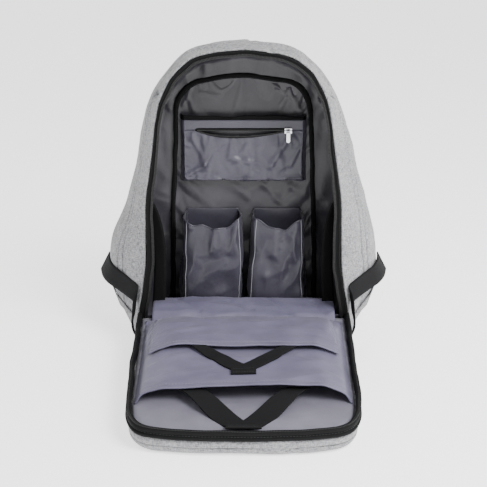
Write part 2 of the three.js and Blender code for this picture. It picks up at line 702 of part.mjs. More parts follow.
// The tablet strap: under the tablet sleeve's mouth and down onto the laptop sleeve
function tabletStrapLevel(x, y) {
  const t = smoothstep(-y, TABLET_MOUTH - SLEEVE_BOW, TABLET_MOUTH + 26);
  const low = sleeveTop(x, y) + 0.8;
  return lerp(low + TABLET_RISE * 0.93 - CLOTH, low, t);
}

// The course of a carrying strap's middle: shares of BUCKLE_X and of the way from its root to its end
const strapCourse = [
  { out: 0.646, along: 0.0 },
  { out: 0.75, along: 0.222 },
  { out: 0.938, along: 0.531 },
  { out: 1.0, along: 0.778 },
  { out: 1.0, along: 1.0 },
];

// A carrying strap, which lies on the ground and is thinner where the pad comes down on it
function strapBody(side) {
  const middle = new THREE.SplineCurve([
    ...strapCourse.map(({ out, along }) =>
      new THREE.Vector2(out * BUCKLE_X, lerp(STRAP_ROOT_AT, STRAP_END_AT, along))),
  ]);
  const steps = 12;
  const rings = [];
  for (let i = 0; i <= steps; i++) {
    const v = i / steps;
    const p = middle.getPoint(v);
    const along = middle.getTangent(v);
    const half = (STRAP_WIDTH / 2) * (v > 0.85 ? lerp(1, 0.55, (v - 0.85) / 0.15) : 1);
    const thick = Math.min(STRAP_THICK, padFoot(-p.y) - STRAP_UNDER_PAD);
    const at = (across, up) => new THREE.Vector3(
      side * (p.x - along.y * across), -(p.y + along.x * across), up,
    );
    rings.push([
      at(-half + 2.5, 0), at(half - 2.5, 0), at(half, thick * 0.3), at(half, thick * 0.7),
      at(half - 2.5, thick), at(-half + 2.5, thick), at(-half, thick * 0.7), at(-half, thick * 0.3),
    ]);
  }
  return loft(rings);
}

const BUCKLE_AT = STRAP_END_AT - 2 * SEAM_GAP - BUCKLE_LENGTH / 2;

// The strap's ladder buckle: a frame with a bar across its middle
function makeBuckle(side) {
  const block = toManifold(new THREE.BoxGeometry(BUCKLE_WIDTH, BUCKLE_LENGTH, BUCKLE_HEIGHT));
  const slot = (BUCKLE_LENGTH - 3 * BUCKLE_FRAME) / 2;
  const holes = [-1, 1].map((end) => toManifold(
    new THREE.BoxGeometry(BUCKLE_WIDTH - 2 * BUCKLE_FRAME, slot, BUCKLE_HEIGHT * 2)
      .translate(0, end * (slot + BUCKLE_FRAME) / 2, 0),
  ));
  return fromManifold(block.subtract(holes[0]).subtract(holes[1]))
    .translate(side * BUCKLE_X, -BUCKLE_AT, BUCKLE_HEIGHT / 2);
}

// The webbing on the body, from the side seam forward to the mouth's corner: shares of BODY_DEPTH, of the
// upper edge's height WEBBING_TOP, and of how far the lower edge stands off the body
const webbingOnBody = [
  { depth: 0.56, up: 1.0, off: 1.0 },
  { depth: 0.413, up: 0.972, off: 0.875 },
  { depth: 0.287, up: 0.936, off: 0.667 },
  { depth: 0.18, up: 0.89, off: 0.458 },
  { depth: 0.087, up: 0.835, off: 0.25 },
  { depth: 0.027, up: 0.78, off: 0.083 },
];

// From the mouth's corner down beside the panel's edge and in under the pad: shares of PANEL_HALF, of the
// reach from the hinge to the buckle, and of WEBBING_TOP, for each edge
const webbingBesidePanel = {
  upper: [{ out: 1.035, reach: 0.145, up: 0.679 }, { out: 1.049, reach: 0.248, up: 0.495 },
    { out: 1.049, reach: 0.413, up: 0.294 }, { out: 0.965, reach: 0.579, up: 0.138 },
    { out: 0.853, reach: 0.785, up: 0.055 }],
  lower: [{ out: 1.035, reach: 0.07, up: 0.45 }, { out: 1.056, reach: 0.083, up: 0.303 },
    { out: 1.014, reach: 0.165, up: 0.156 }, { out: 0.881, reach: 0.372, up: 0.064 },
    { out: 0.727, reach: 0.661, up: 0.029 }],
};

function makeWebbing(side) {
  const end = -BUCKLE_AT + BUCKLE_LENGTH / 2 + 2 * SEAM_GAP;
  const edge = (name, lower) => [
    ...webbingOnBody.map(({ depth, up, off }) => {
      const y = depth * BODY_DEPTH;
      const z = up * WEBBING_TOP - lower * WEBBING_WIDTH;
      return new THREE.Vector3(bodyHalfAt(y, z) + WEBBING_OFF_BODY + lower * off * WEBBING_STAND_OFF, y, z);
    }),
    ...webbingBesidePanel[name].map(({ out, reach, up }) =>
      new THREE.Vector3(out * PANEL_HALF, reach * end, up * WEBBING_TOP)),
    new THREE.Vector3(BUCKLE_X + WEBBING_WIDTH * (0.5 - lower), end, WEBBING_AT_BUCKLE),
  ];
  const edges = [edge("upper", 0), edge("lower", 1)].map(
    (rows) => new THREE.CatmullRomCurve3(rows.map((p) => new THREE.Vector3(side * p.x, p.y, p.z))),
  );
  if (side > 0) edges.reverse();
  return sheet((u, v) => edges[0].getPoint(v).lerp(edges[1].getPoint(v), u), WEBBING_THICK, 2, 30);
}

// The three-cornered cloth that fills the bend of the webbing, under it and against the body
function makeWing(side) {
  const first = webbingOnBody[0];
  const place = (u, v) => {
    const y = lerp(first.depth, WING_NEAR, v) * BODY_DEPTH;
    const upper = WEBBING_TOP - WEBBING_WIDTH - lerp(WING_BELOW_WEBBING, WING_DROP, v);
    const depth = WING_DEPTH * Math.sin(Math.PI * lerp(0.06, 0.94, v));
    const z = upper - depth * (side > 0 ? 1 - u : u);
    return new THREE.Vector3(side * (bodyHalfAt(y, z) + WING_OFF_BODY), y, z);
  };
  return sheet(place, CLOTH, 2, 10);
}

const finish = (color, roughness, metalness = 0) =>
  new THREE.MeshStandardMaterial({ color, roughness, metalness });

const materials = {
  shell: finish(0xb2b2b4, 0.95),
  lining: finish(0x5a595f, 0.75),
  sleeve: finish(0x8a8896, 0.75),
  black: finish(0x1c1c1e, 0.85),
  webbing: finish(0x2c2c2e, 0.85),
  metal: finish(0xc8c8cc, 0.3, 1),
};

const backpack = new THREE.Group();

// Everything is drawn with the hinge at y = 0, then moved so that the origin is under the whole part's middle
const TO_MIDDLE = (PANEL_LENGTH - BODY_DEPTH) / 2;

function add(name, geometry, material) {
  const mesh = new THREE.Mesh(geometry, material);
  mesh.name = name;
  mesh.position.y = TO_MIDDLE;
  backpack.add(mesh);
}

add("shell", makeShell(), materials.shell);
add("cavity_lining", makeLining(), materials.lining);
add("opening_zip", makeOpeningZip(), materials.black);
add("organiser_board", makeBoard(), materials.lining);
add("board_binding", makeBoardBinding(), materials.black);
add("flat_pocket", makeFlatPocket(), materials.lining);
add("pocket_divider", makeDivider(), materials.lining);
add("slip_lip", makeSlipLip(), materials.black);
add("slit_zip_tape", makeSlitTape(), materials.black);
add("zip_slider", makeSlider(), materials.metal);
add("zip_pull", makePull(), materials.metal);
add("pouch_left", makePouch(-POUCH_OUTER_HALF, -POUCH_MIDDLE_GAP / 2 + 4), materials.lining);
add("pouch_right", makePouch(POUCH_MIDDLE_GAP / 2 + 4, POUCH_OUTER_HALF), materials.lining);
add("sill_cloth", makeSillCloth(), materials.sleeve);
add("panel_pad", makePad(), materials.shell);
add("panel_lining", makePanelLining(), materials.sleeve);
add("panel_zip", makePanelZip(), materials.black);
add("laptop_sleeve", makeSleeve(), materials.sleeve);
add("tablet_sleeve", makeTabletSleeve(), materials.sleeve);
add("laptop_strap", makeSleeveStrap(SLEEVE_MOUTH - SLEEVE_BOW - STRAP_TUCK, SLEEVE_STRAP_END,
  SLEEVE_STRAP_REACH, SLEEVE_STRAP_WIDTH, SLEEVE_STRAP_TIP, sleeveStrapLevel), materials.webbing);
add("tablet_strap", makeSleeveStrap(TABLET_MOUTH - SLEEVE_BOW - STRAP_TUCK, TABLET_STRAP_END,
  SLEEVE_STRAP_REACH, TABLET_STRAP_WIDTH, TABLET_STRAP_TIP, tabletStrapLevel), materials.webbing);
for (const [name, side] of [["left", -1], ["right", 1]]) {
  add(`stay_${name}`, makeStay(side), materials.black);
  add(`carry_strap_${name}`, strapBody(side), materials.shell);
  add(`strap_buckle_${name}`, makeBuckle(side), materials.black);
  add(`strap_webbing_${name}`, makeWebbing(side), materials.webbing);
  add(`strap_wing_${name}`, makeWing(side), materials.shell);
}

export default backpack;
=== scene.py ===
# %% [markdown]
# # A day backpack, opened at its back
# The bag stands on its base and its whole back panel is unzipped and folded down flat in front of it.
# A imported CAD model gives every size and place. This script dresses it: each cell makes one piece or one
# finish as the real one is made, out of padded cloth, satin lining, webbing, zip tape and a little metal.

# %% Load the frame
import math

import bmesh
import bpy
import numpy as np
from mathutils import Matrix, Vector, noise


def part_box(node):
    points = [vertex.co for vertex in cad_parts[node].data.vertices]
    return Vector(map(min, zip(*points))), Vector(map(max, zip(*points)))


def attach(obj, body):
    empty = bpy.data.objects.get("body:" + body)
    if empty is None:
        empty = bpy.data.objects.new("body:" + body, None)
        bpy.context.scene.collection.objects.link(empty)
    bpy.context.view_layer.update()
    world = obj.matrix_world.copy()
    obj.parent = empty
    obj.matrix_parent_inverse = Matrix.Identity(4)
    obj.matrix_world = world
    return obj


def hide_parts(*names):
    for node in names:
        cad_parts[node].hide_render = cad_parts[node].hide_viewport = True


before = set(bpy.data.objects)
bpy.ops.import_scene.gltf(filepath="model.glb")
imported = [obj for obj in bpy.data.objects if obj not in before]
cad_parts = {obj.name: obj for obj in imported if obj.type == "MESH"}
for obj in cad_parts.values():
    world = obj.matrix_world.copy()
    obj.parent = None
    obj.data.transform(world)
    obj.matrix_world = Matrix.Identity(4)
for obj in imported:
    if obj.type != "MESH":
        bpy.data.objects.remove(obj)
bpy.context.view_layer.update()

# %% [markdown]
# ## Camera, light and ground
# The bag was taken from a little above, straight in front of its open side, from about one and a half
# metres. A camera is placed by three values: where it stands, how far it looks down, and its lens.

# %% The camera
MM = 0.001
IMAGE_SIZE = 487
FOCAL_PIXELS = 1164.0
SENSOR = 36.0
CAMERA_PITCH = math.radians(16.7)
# The pad starts one millimetre in front of the hinge
HINGE_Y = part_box("panel_pad")[1][1] + 1 * MM
CAMERA_REACH, CAMERA_HEIGHT = 1.493, 0.594
CAMERA_AT = Vector((0.0, HINGE_Y - CAMERA_REACH, CAMERA_HEIGHT))

camera = bpy.data.objects.new("camera", bpy.data.cameras.new("camera"))
camera.data.sensor_width = SENSOR
camera.data.lens = FOCAL_PIXELS / IMAGE_SIZE * SENSOR
camera.location = CAMERA_AT
camera.rotation_euler = (math.pi / 2 - CAMERA_PITCH, 0, 0)
bpy.context.scene.collection.objects.link(camera)
bpy.context.scene.camera = camera
print("camera at", tuple(round(c, 3) for c in CAMERA_AT), "lens", round(camera.data.lens, 2))

# %% [markdown]
# Studio light for a catalogue picture is broad and soft. One large panel hangs above and in front, to the
# right, a weaker one stands on the right, and a pale world fills the shadows.

# %% Lights and ground
def area_light(name, place, target, size, watts):
    light = bpy.data.objects.new(name, bpy.data.lights.new(name, "AREA"))
    light.data.shape = "RECTANGLE"
    light.data.size, light.data.size_y = size
    light.data.energy = watts
    light.location = place
    light.rotation_euler = (Vector(target) - Vector(place)).to_track_quat("-Z", "Y").to_euler()
    bpy.context.scene.collection.objects.link(light)


area_light("key_light", (0.95, -1.15, 1.5), (0, 0.1, 0.15), (0.9, 0.9), 58)
area_light("right_light", (1.7, -0.3, 0.9), (0, 0.1, 0.2), (0.9, 1.2), 12)

world = bpy.data.worlds.new("studio")
bpy.context.scene.world = world
world.use_nodes = True
world.node_tree.nodes["Background"].inputs["Color"].default_value = (1, 1, 1, 1)
world.node_tree.nodes["Background"].inputs["Strength"].default_value = 1.0

ground_mesh = bpy.data.meshes.new("ground")
ground_mesh.from_pydata([(-6, -6, 0), (6, -6, 0), (6, 6, 0), (-6, 6, 0)], [], [(0, 1, 2, 3)])
ground = bpy.data.objects.new("ground", ground_mesh)
bpy.context.scene.collection.objects.link(ground)
ground.location.z = -0.2 * MM

# %% [markdown]
# ## Finishes
# Every finish is built from nodes. One helper adds a node, sets its values and links its inputs, and one
# turns a screen colour into the linear colour that the shader works in. The others make noise of a size in
# millimetres, mix two tones by it, and raise relief from it.

# %% Helpers for finishes
def linear(code):
    channels = [int(code[i:i + 2], 16) / 255 for i in (1, 3, 5)]
    return tuple(c / 12.92 if c <= 0.04045 else ((c + 0.055) / 1.055) ** 2.4 for c in channels) + (1.0,)


def add_node(material, kind, settings=None, **inputs):
    """A node with its settings; an input is a value, or another node's output socket."""
    node = material.node_tree.nodes.new(kind)
    for name, value in (settings or {}).items():
        setattr(node, name, value)
    for name, value in inputs.items():
        key = int(name[1:]) if name[0] == "_" else name.replace("_", " ")
        if isinstance(value, bpy.types.NodeSocket):
            material.node_tree.links.new(value, node.inputs[key])
        else:
            node.inputs[key].default_value = value
    return node


def new_material(name):
    material = bpy.data.materials.new(name)
    material.use_nodes = True
    return material, material.node_tree.nodes["Principled BSDF"]


def place_of(material, *millimetres):
    """Object coordinates, with one pattern unit every so many millimetres along X, Y and Z."""
    where = add_node(material, "ShaderNodeTexCoord").outputs["Object"]
    scale = tuple(1000 / size for size in millimetres)
    return add_node(material, "ShaderNodeMapping", Vector=where, Scale=scale).outputs["Vector"]


def noise_of(material, size, detail, **inputs):
    """Noise whose grain measures size, in millimetres along X, Y and Z."""
    where = place_of(material, *size)
    node = add_node(material, "ShaderNodeTexNoise", Vector=where, Scale=1.0, Detail=detail, **inputs)
    return node.outputs["Fac"]


def tone_by(material, shader, level, shade, tone):
    """Lets the base colour run from shade to tone as a level rises."""
    colour = add_node(material, "ShaderNodeMix", {"data_type": "RGBA"},
                      Factor=level, A=linear(shade), B=linear(tone))
    material.node_tree.links.new(colour.outputs["Result"], shader.inputs["Base Color"])


def relief_by(material, shader, height, strength, millimetres):
    bump = add_node(material, "ShaderNodeBump", Strength=strength, Distance=millimetres * MM, Height=height)
    material.node_tree.links.new(bump.outputs["Normal"], shader.inputs["Normal"])


def set_shader(shader, **values):
    for name, value in values.items():
        shader.inputs[name.replace("_", " ")].default_value = value

# %% [markdown]
# The ground is a white studio sweep: matte, with nothing on it.

# %% The ground's finish
sweep, shader = new_material("white_studio_sweep")
set_shader(shader, Base_Color=linear("#FDFDFD"), Roughness=0.9, Specular_IOR_Level=0.1,
           Emission_Color=(1, 1, 1, 1), Emission_Strength=1.3)
ground_mesh.materials.append(sweep)

# %% [markdown]
# Melange polyester is woven from yarn whose fibres are dyed pale and dark before they are spun. Up close it
# is a speckle: short dark flecks that run with the two yarns, on pale grey. They are drawn a little coarser
# than real ones, so that they show. A cloud of slow variation lies over them, and the same flecks give a
# fine relief.

# %% Melange polyester
def melange_polyester(name, pale, dark):
    material, shader = new_material(name)
    warp = noise_of(material, (0.9, 0.9, 5.0), 3.0, Roughness=0.65)
    weft = noise_of(material, (4.4, 4.4, 0.8), 3.0, Roughness=0.65)
    both = add_node(material, "ShaderNodeMath", {"operation": "ADD"}, _0=warp, _1=weft)
    half = add_node(material, "ShaderNodeMath", {"operation": "MULTIPLY"}, _0=both.outputs[0], _1=0.5)
    flecks = add_node(material, "ShaderNodeMapRange", Value=half.outputs[0], From_Min=0.38, From_Max=0.6)
    cloud = noise_of(material, (26, 26, 34), 4.0)
    soft = add_node(material, "ShaderNodeMapRange", Value=cloud, To_Min=-0.2, To_Max=0.2)
    level = add_node(material, "ShaderNodeMath", {"operation": "ADD", "use_clamp": True},
                     _0=flecks.outputs["Result"], _1=soft.outputs["Result"])
    tone_by(material, shader, level.outputs[0], dark, pale)
    relief_by(material, shader, half.outputs[0], 0.35, 0.25)
    set_shader(shader, Roughness=0.92, Specular_IOR_Level=0.25, Sheen_Weight=0.15, Sheen_Roughness=0.5)
    return material


outer_cloth = melange_polyester("melange_polyester", "#A2A2A4", "#4E4E52")
# A darker copy of the same melange for the wings and carrying straps: painted shade, where they sit low by
# the base and under the panel.
shaded_strap_melange = melange_polyester("melange_polyester_shaded", "#8E8E90", "#3E3E41")

# %% [markdown]
# The lining is a filament polyester with a satin face. Its yarns are too fine to see, but they run mostly one
# way, so folds catch a broad soft light. A faint twill and a slow drift of tone keep it from looking moulded.

# %% Satin lining
def satin_lining(name, tone, shade, roughness):
    material, shader = new_material(name)
    drift = noise_of(material, (38, 38, 38), 3.0)
    twill = noise_of(material, (0.9, 0.9, 2.2), 2.0)
    mixed = add_node(material, "ShaderNodeMath", {"operation": "MULTIPLY_ADD"}, _0=twill, _1=0.45, _2=drift)
    level = add_node(material, "ShaderNodeMapRange", Value=mixed.outputs[0], From_Min=0.45, From_Max=1.0)
    tone_by(material, shader, level.outputs["Result"], shade, tone)
    relief_by(material, shader, twill, 0.2, 0.12)
    set_shader(shader, Roughness=roughness, Specular_IOR_Level=0.45, Sheen_Weight=0.1, Sheen_Roughness=0.4)
    return material


# The cavity, pocket and pouch satins are the one lining cloth darkened: painted shade of the cavity they sit
# in.
cavity_shaded_satin = satin_lining("satin_lining_dark", "#3F3E44", "#2C2B30", 0.36)
pocket_shaded_satin = satin_lining("satin_lining_pocket_shade", "#504E5A", "#3E3C47", 0.38)
pouch_shaded_satin = satin_lining("satin_lining_pouch_shade", "#403E49", "#2F2D37", 0.34)
pale_satin = satin_lining("satin_lining_pale", "#68657A", "#565367", 0.48)
panel_satin_cloth = satin_lining("satin_lining_panel", "#73717D", "#62606C", 0.56)

# %% [markdown]
# Webbing and zip tape are both woven narrow and thick. Webbing has ribs across it, about 1.5 mm apart, drawn
# from the piece's own map, in which one unit is one metre along the strap.

# %% Woven tape and webbing
# The wave node's scale at which it repeats once in every unit of its map
ONE_WAVE = 0.314


def woven_tape(name, tone, shade, rib):
    material, shader = new_material(name)
    run = add_node(material, "ShaderNodeUVMap", {"uv_map": "weave"}).outputs["UV"]
    at = add_node(material, "ShaderNodeMapping", Vector=run, Scale=(1000 / rib, 1000 / rib, 1))
    ribs = add_node(material, "ShaderNodeTexWave", {"wave_type": "BANDS", "bands_direction": "Y"},
                    Vector=at.outputs["Vector"], Scale=ONE_WAVE, Distortion=0.6, Detail=1.0)
    fuzz = noise_of(material, (1.2, 1.2, 1.2), 3.0)
    height = add_node(material, "ShaderNodeMath", {"operation": "MULTIPLY_ADD"},
                      _0=fuzz, _1=0.5, _2=ribs.outputs["Fac"])
    level = add_node(material, "ShaderNodeMapRange", Value=height.outputs[0], From_Min=0.2, From_Max=1.4)
    tone_by(material, shader, level.outputs["Result"], shade, tone)
    relief_by(material, shader, height.outputs[0], 0.5, 0.3)
    set_shader(shader, Roughness=0.8, Specular_IOR_Level=0.18)
    return material


zip_cloth = woven_tape("woven_zip_tape", "#0E0E0F", "#060607", 1.2)
webbing_cloth = woven_tape("polypropylene_webbing", "#161618", "#09090A", 1.6)
ribbon_cloth = woven_tape("grosgrain_ribbon", "#0D0D0E", "#060607", 1.4)

# %% [markdown]
# The zip's coil is nylon monofilament, the buckles are moulded acetal, and the slider with its pull is
# die-cast zinc with bright plating that small scratches have dulled. Sewing thread is matte polyester.

# %% Nylon, acetal, plated zinc and thread
def plain_finish(name, tone, roughness, metallic=0.0, grain=0.6, spread=0.12):
    material, shader = new_material(name)
    marks = noise_of(material, (grain, grain, grain), 4.0)
    wear = add_node(material, "ShaderNodeMapRange", Value=marks,
                    To_Min=max(0.02, roughness - spread), To_Max=min(1.0, roughness + spread))
    material.node_tree.links.new(wear.outputs["Result"], shader.inputs["Roughness"])
    relief_by(material, shader, marks, 0.15, 0.05)
    set_shader(shader, Base_Color=linear(tone), Metallic=metallic)
    return material


coil_nylon = plain_finish("nylon_zip_coil", "#101011", 0.42)
buckle_acetal = plain_finish("moulded_acetal", "#1E1E20", 0.45, grain=0.4)
plated_zinc = plain_finish("plated_zinc", "#D4D4D8", 0.26, metallic=1.0, grain=1.5, spread=0.08)
grey_thread = plain_finish("polyester_thread_grey", "#7C7A88", 0.8)
# The pouches' piping is drawn pale: a painted highlight along their side edges.
highlight_piping = plain_finish("polyester_piping_highlight", "#83828A", 0.75, grain=0.8)
seam_thread = plain_finish("polyester_thread_seam", "#67676B", 0.85)
black_thread = plain_finish("polyester_thread_black", "#1C1C1E", 0.7)
print("finishes", len(bpy.data.materials))

# %% [markdown]
# ## Sizes and tables
# The forms are drawn in millimetres with the hinge at y = 0, as the CAD model draws them, and moved into the
# frame when they become meshes. The driving sizes and the short tables of shares are the model's own.

# %% Sizes of the bag
BODY_DEPTH, BODY_TOP, BELLY_HALF = 150, 412, 189
OPENING_HALF, OPENING_SILL, OPENING_TOP, RIM_MARGIN = 141, 42, 402, 4
CAVITY_INSET, CAVITY_DEPTH, CAVITY_CORNER, LEFT_FLATTER = 7.2, 118, 12, 9
BOARD_HALF, BOARD_FOOT, BOARD_TOP, BOARD_FACE = 104, 24, 356, 113.6
SEWN_ON = BOARD_FACE - 0.4
POCKET_HALF, POCKET_FOOT, POCKET_TOP, POCKET_PROUD, POCKET_TURN = 88, 206, 295, 14, 5
SLIT_HALF, SLIT_Z, SLIT_DROP = 64, 280, 8
POUCH_DEPTH, POUCH_HEIGHT, POUCH_SAG = 60, 142, 12
LEFT_POUCH, RIGHT_POUCH = (-88, 0.5), (7.5, 88)
PANEL_HALF, PANEL_LENGTH, PANEL_RIM = 143, 334, 10.5
PAD_TOP_AT_HINGE, PAD_TOP_AT_END, PAD_FOOT_AT_HINGE, PAD_LIES_FROM = 38, 20, 27, 0.9
SLEEVE_START, SLEEVE_MOUTH, SLEEVE_HALF, SLEEVE_TAPER, SLEEVE_RISE, SLEEVE_BOW = 16, 253, 131, 0.965, 18, 3
TABLET_START, TABLET_MOUTH, TABLET_HALF, TABLET_RISE = 19, 158, 117, 5.5
SLEEVE_CLOTH, LINING_ABOVE_PAD = 2.2, 2.0
LAPTOP_STRAP_END, TABLET_STRAP_END, STRAP_REACH, STRAP_TUCKED = 326, 226, 65, 8
BUCKLE_X, BUCKLE_END, WEBBING_HALF = 96, -48.4, 12.5
STAY_SEWN_AT, STAY_TOP, STAY_HALF = 34, 214, 8.5
WING_FAR, WING_NEAR, WING_TOP_FAR, WING_TOP_NEAR, WING_DEPTH = 84, 16, 79, 44, 16
CARRY_HALF, CARRY_THICK, CARRY_TAPERS_FROM, CARRY_TAPER = 29, 9, 0.85, 0.55

# Rows of (height share, opening's half width share, belly's half width share)
body_outline = [
    (0.0, 1.0, 0.7), (0.015, 0.998, 0.775), (0.06, 0.985, 0.872), (0.14, 0.945, 0.965), (0.22, 0.918, 1.0),
    (0.34, 0.908, 0.97), (0.46, 0.9, 0.9), (0.58, 0.858, 0.83), (0.7, 0.815, 0.758), (0.8, 0.773, 0.678),
    (0.88, 0.69, 0.58), (0.94, 0.565, 0.46), (0.98, 0.39, 0.31), (1.0, 0.0, 0.0),
]
# Rows of (depth share, belly share, width share, height share, sill share)
body_sections = [
    (0.0, 0.0, 1.0, 1.0, 1.0), (0.04, 0.17, 1.0, 1.0, 0.34), (0.14, 0.48, 1.0, 1.0, 0.04),
    (0.3, 0.84, 1.0, 1.0, 0.0), (0.5, 1.0, 1.0, 0.99, 0.0), (0.66, 1.0, 0.985, 0.97, 0.0),
    (0.8, 1.0, 0.94, 0.93, 0.0), (0.9, 1.0, 0.86, 0.87, 0.06), (0.97, 1.0, 0.73, 0.79, 0.3),
    (1.0, 1.0, 0.5, 0.68, 0.9),
]
# Rows of (height share, half width share)
board_outline = [
    (0.0, 1.0), (0.28, 0.99), (0.62, 0.945), (0.84, 0.92), (0.92, 0.845),
    (0.965, 0.7), (0.985, 0.46), (1.0, 0.0),
]
panel_outline = [
    (0.0, 1.0), (0.39, 0.975), (0.69, 0.953), (0.84, 0.925), (0.91, 0.88),
    (0.955, 0.8), (0.98, 0.66), (0.997, 0.36), (1.0, 0.0),
]
print("body", BODY_DEPTH, "deep,", BODY_TOP, "tall, panel", PANEL_LENGTH, "long")

# %% [markdown]
# Curves are read off smooth splines through the rows of a table, and points are spaced evenly along them.

# %% Curves
def lerp(a, b, share):
    return a + (b - a) * share


def smoothstep(x, low, high):
    t = np.clip((x - low) / (high - low), 0, 1)
    return t * t * (3 - 2 * t)


def smooth_between(rows, at):
    """Rows of numbers read at places between them, on a smooth curve through them all."""
    rows, at = np.asarray(rows, float), np.atleast_1d(at).astype(float)
    start = np.clip(np.floor(at).astype(int), 0, len(rows) - 2)
    t = (at - start)[:, None]
    before, here, there, after = (rows[np.clip(start + k, 0, len(rows) - 1)] for k in (-1, 0, 1, 2))
    leave, arrive = (there - before) / 2, (after - here) / 2
    return ((2 * here - 2 * there + leave + arrive) * t ** 3
            + (3 * there - 3 * here - 2 * leave - arrive) * t ** 2 + leave * t + here)


def evenly(points, count):
    """Count points evenly spaced along the smooth curve through the given ones."""
    fine = smooth_between(points, np.linspace(0, len(points) - 1, 24 * len(points)))
    run = np.concatenate([[0], np.cumsum(np.linalg.norm(np.diff(fine, axis=0), axis=1))])
    at = np.linspace(0, run[-1], count)
    return np.stack([np.interp(at, run, fine[:, k]) for k in range(fine.shape[1])], axis=1)


def arch(outline, half, foot, crown, count):
    """An arch from its right foot over its crown to its left foot, from rows of (up, across)."""
    right = [(half * across, lerp(foot, crown, up)) for up, across in outline]
    return evenly(right + [(-x, z) for x, z in right[-2::-1]], count)


def closed_arch(outline, half, foot, crown, count, base):
    over = arch(outline, half, foot, crown, count)
    return np.concatenate([over, lerp(over[-1], over[0], (np.arange(1, base) / base)[:, None])])


# %% [markdown]
# Cloth is a grid of points. A grid knows its normals, can be pressed in along a line as a seam or a crease
# presses it, and can be given folds from ridged noise.

# %% Grids of points
FORWARD, UPWARD = np.array((0.0, -1.0, 0.0)), np.array((0.0, 0.0, 1.0))
SEE_FRONT, SEE_ABOVE = (1, 0, 1), (1, 1, 0)


def along_length(line):
    return np.linalg.norm(np.diff(line, axis=0), axis=1).sum()


def normals_of(P, around=False):
    across = np.roll(P, -1, 1) - np.roll(P, 1, 1) if around else np.gradient(P, axis=1)
    normal = np.cross(across, np.gradient(P, axis=0))
    return normal / np.maximum(np.linalg.norm(normal, axis=2, keepdims=True), 1e-9)


def near_line(P, line, see=(1, 1, 1)):
    """How far each point is from a line of points, along the axes that see lets through."""
    P, line = P * see, np.asarray(line, float) * see
    nearest = np.full(P.shape[:2], 1e9)
    for a, b in zip(line[:-1], line[1:]):
        along = np.clip(((P - a) @ (b - a)) / ((b - a) @ (b - a)), 0, 1)
        nearest = np.minimum(nearest, np.linalg.norm(P - (a + along[..., None] * (b - a)), axis=2))
    return nearest


def pressed(P, out, line, depth, width, see=(1, 1, 1)):
    """The grid moved by depth along out near a line, within about width of it."""
    return P + out * (depth * np.exp(-(near_line(P, line, see) / width) ** 2))[..., None]


def creased(P, out, rows, see):
    """The grid pressed along out at each row of (start, end, depth, width)."""
    for start, end, depth, width in rows:
        P = pressed(P, out, (start, end), depth, width, see)
    return P


def noise_at(P, size, stretch=(1, 1, 1), seed=0.0):
    at = (P / (size * np.array(stretch)) + seed).reshape(-1, 3)
    return np.array([noise.noise(Vector(p)) for p in at]).reshape(P.shape[:2])


def folded(P, out, size, height, stretch=(1, 1, 1), seed=0.0, share=1.0):
    """Soft folds: broad swells with sharper ridges, longest along the stretched axis."""
    ridges = 0.5 - np.abs(noise_at(P, size, stretch, seed)) * 2
    swells = noise_at(P, size * 2.3, stretch, seed + 7.3)
    return P + out * ((ridges * 0.55 + swells * 0.9) * height * share)[..., None]


# %% [markdown]
# Sewn cloth is never cut exactly to its seams. Each large sheet is grown by a few hundredths, held along its
# seams, and left to buckle in a short simulation.

# %% Letting cloth settle
SETTLING_FRAMES = 11


def settled(P, sewn, growth, limit, around=False, weight=0.4):
    """The grid after it has buckled between its sewn points, moved by limit millimetres at most."""
    obj = grid_mesh("settling", P, around)
    obj.vertex_groups.new(name="sewn").add(np.flatnonzero(np.asarray(sewn).ravel()).tolist(), 1.0, "REPLACE")
    modifier = obj.modifiers.new("cloth", "CLOTH")
    modifier.settings.quality = 4
    modifier.settings.mass = 0.12
    modifier.settings.tension_stiffness = modifier.settings.compression_stiffness = 14
    modifier.settings.bending_stiffness = 0.06
    modifier.settings.shrink_min = -growth
    modifier.settings.vertex_group_mass = "sewn"
    modifier.settings.effector_weights.gravity = weight
    modifier.point_cache.frame_start, modifier.point_cache.frame_end = 1, SETTLING_FRAMES
    for moment in range(1, SETTLING_FRAMES + 1):
        bpy.context.scene.frame_set(moment)
    result = obj.evaluated_get(bpy.context.evaluated_depsgraph_get()).data
    at = np.zeros(len(result.vertices) * 3)
    result.vertices.foreach_get("co", at)
    bpy.context.scene.frame_set(1)
    bpy.data.objects.remove(obj)
    moved = (at.reshape(P.shape) - (0, HINGE_Y, 0)) / MM - P
    length = np.maximum(np.linalg.norm(moved, axis=2, keepdims=True), 1e-9)
    print("settled by up to", round(float(length.max()), 1), "mm, held to", limit)
    return P + moved / length * limit * np.tanh(length / limit)


def border(P, sides="tblr"):
    """A mask of a grid's edges: top row t, bottom row b, left column l, right column r."""
    mask = np.zeros(P.shape[:2], bool)
    mask[-1] |= "t" in sides
    mask[0] |= "b" in sides
    mask[:, 0] |= "l" in sides
    mask[:, -1] |= "r" in sides
    return mask


# %% [markdown]
# A grid becomes a mesh with a map named weave, whose unit is a metre of cloth, so tape and webbing can show
# their ribs. Thin cloth gets its real thickness.

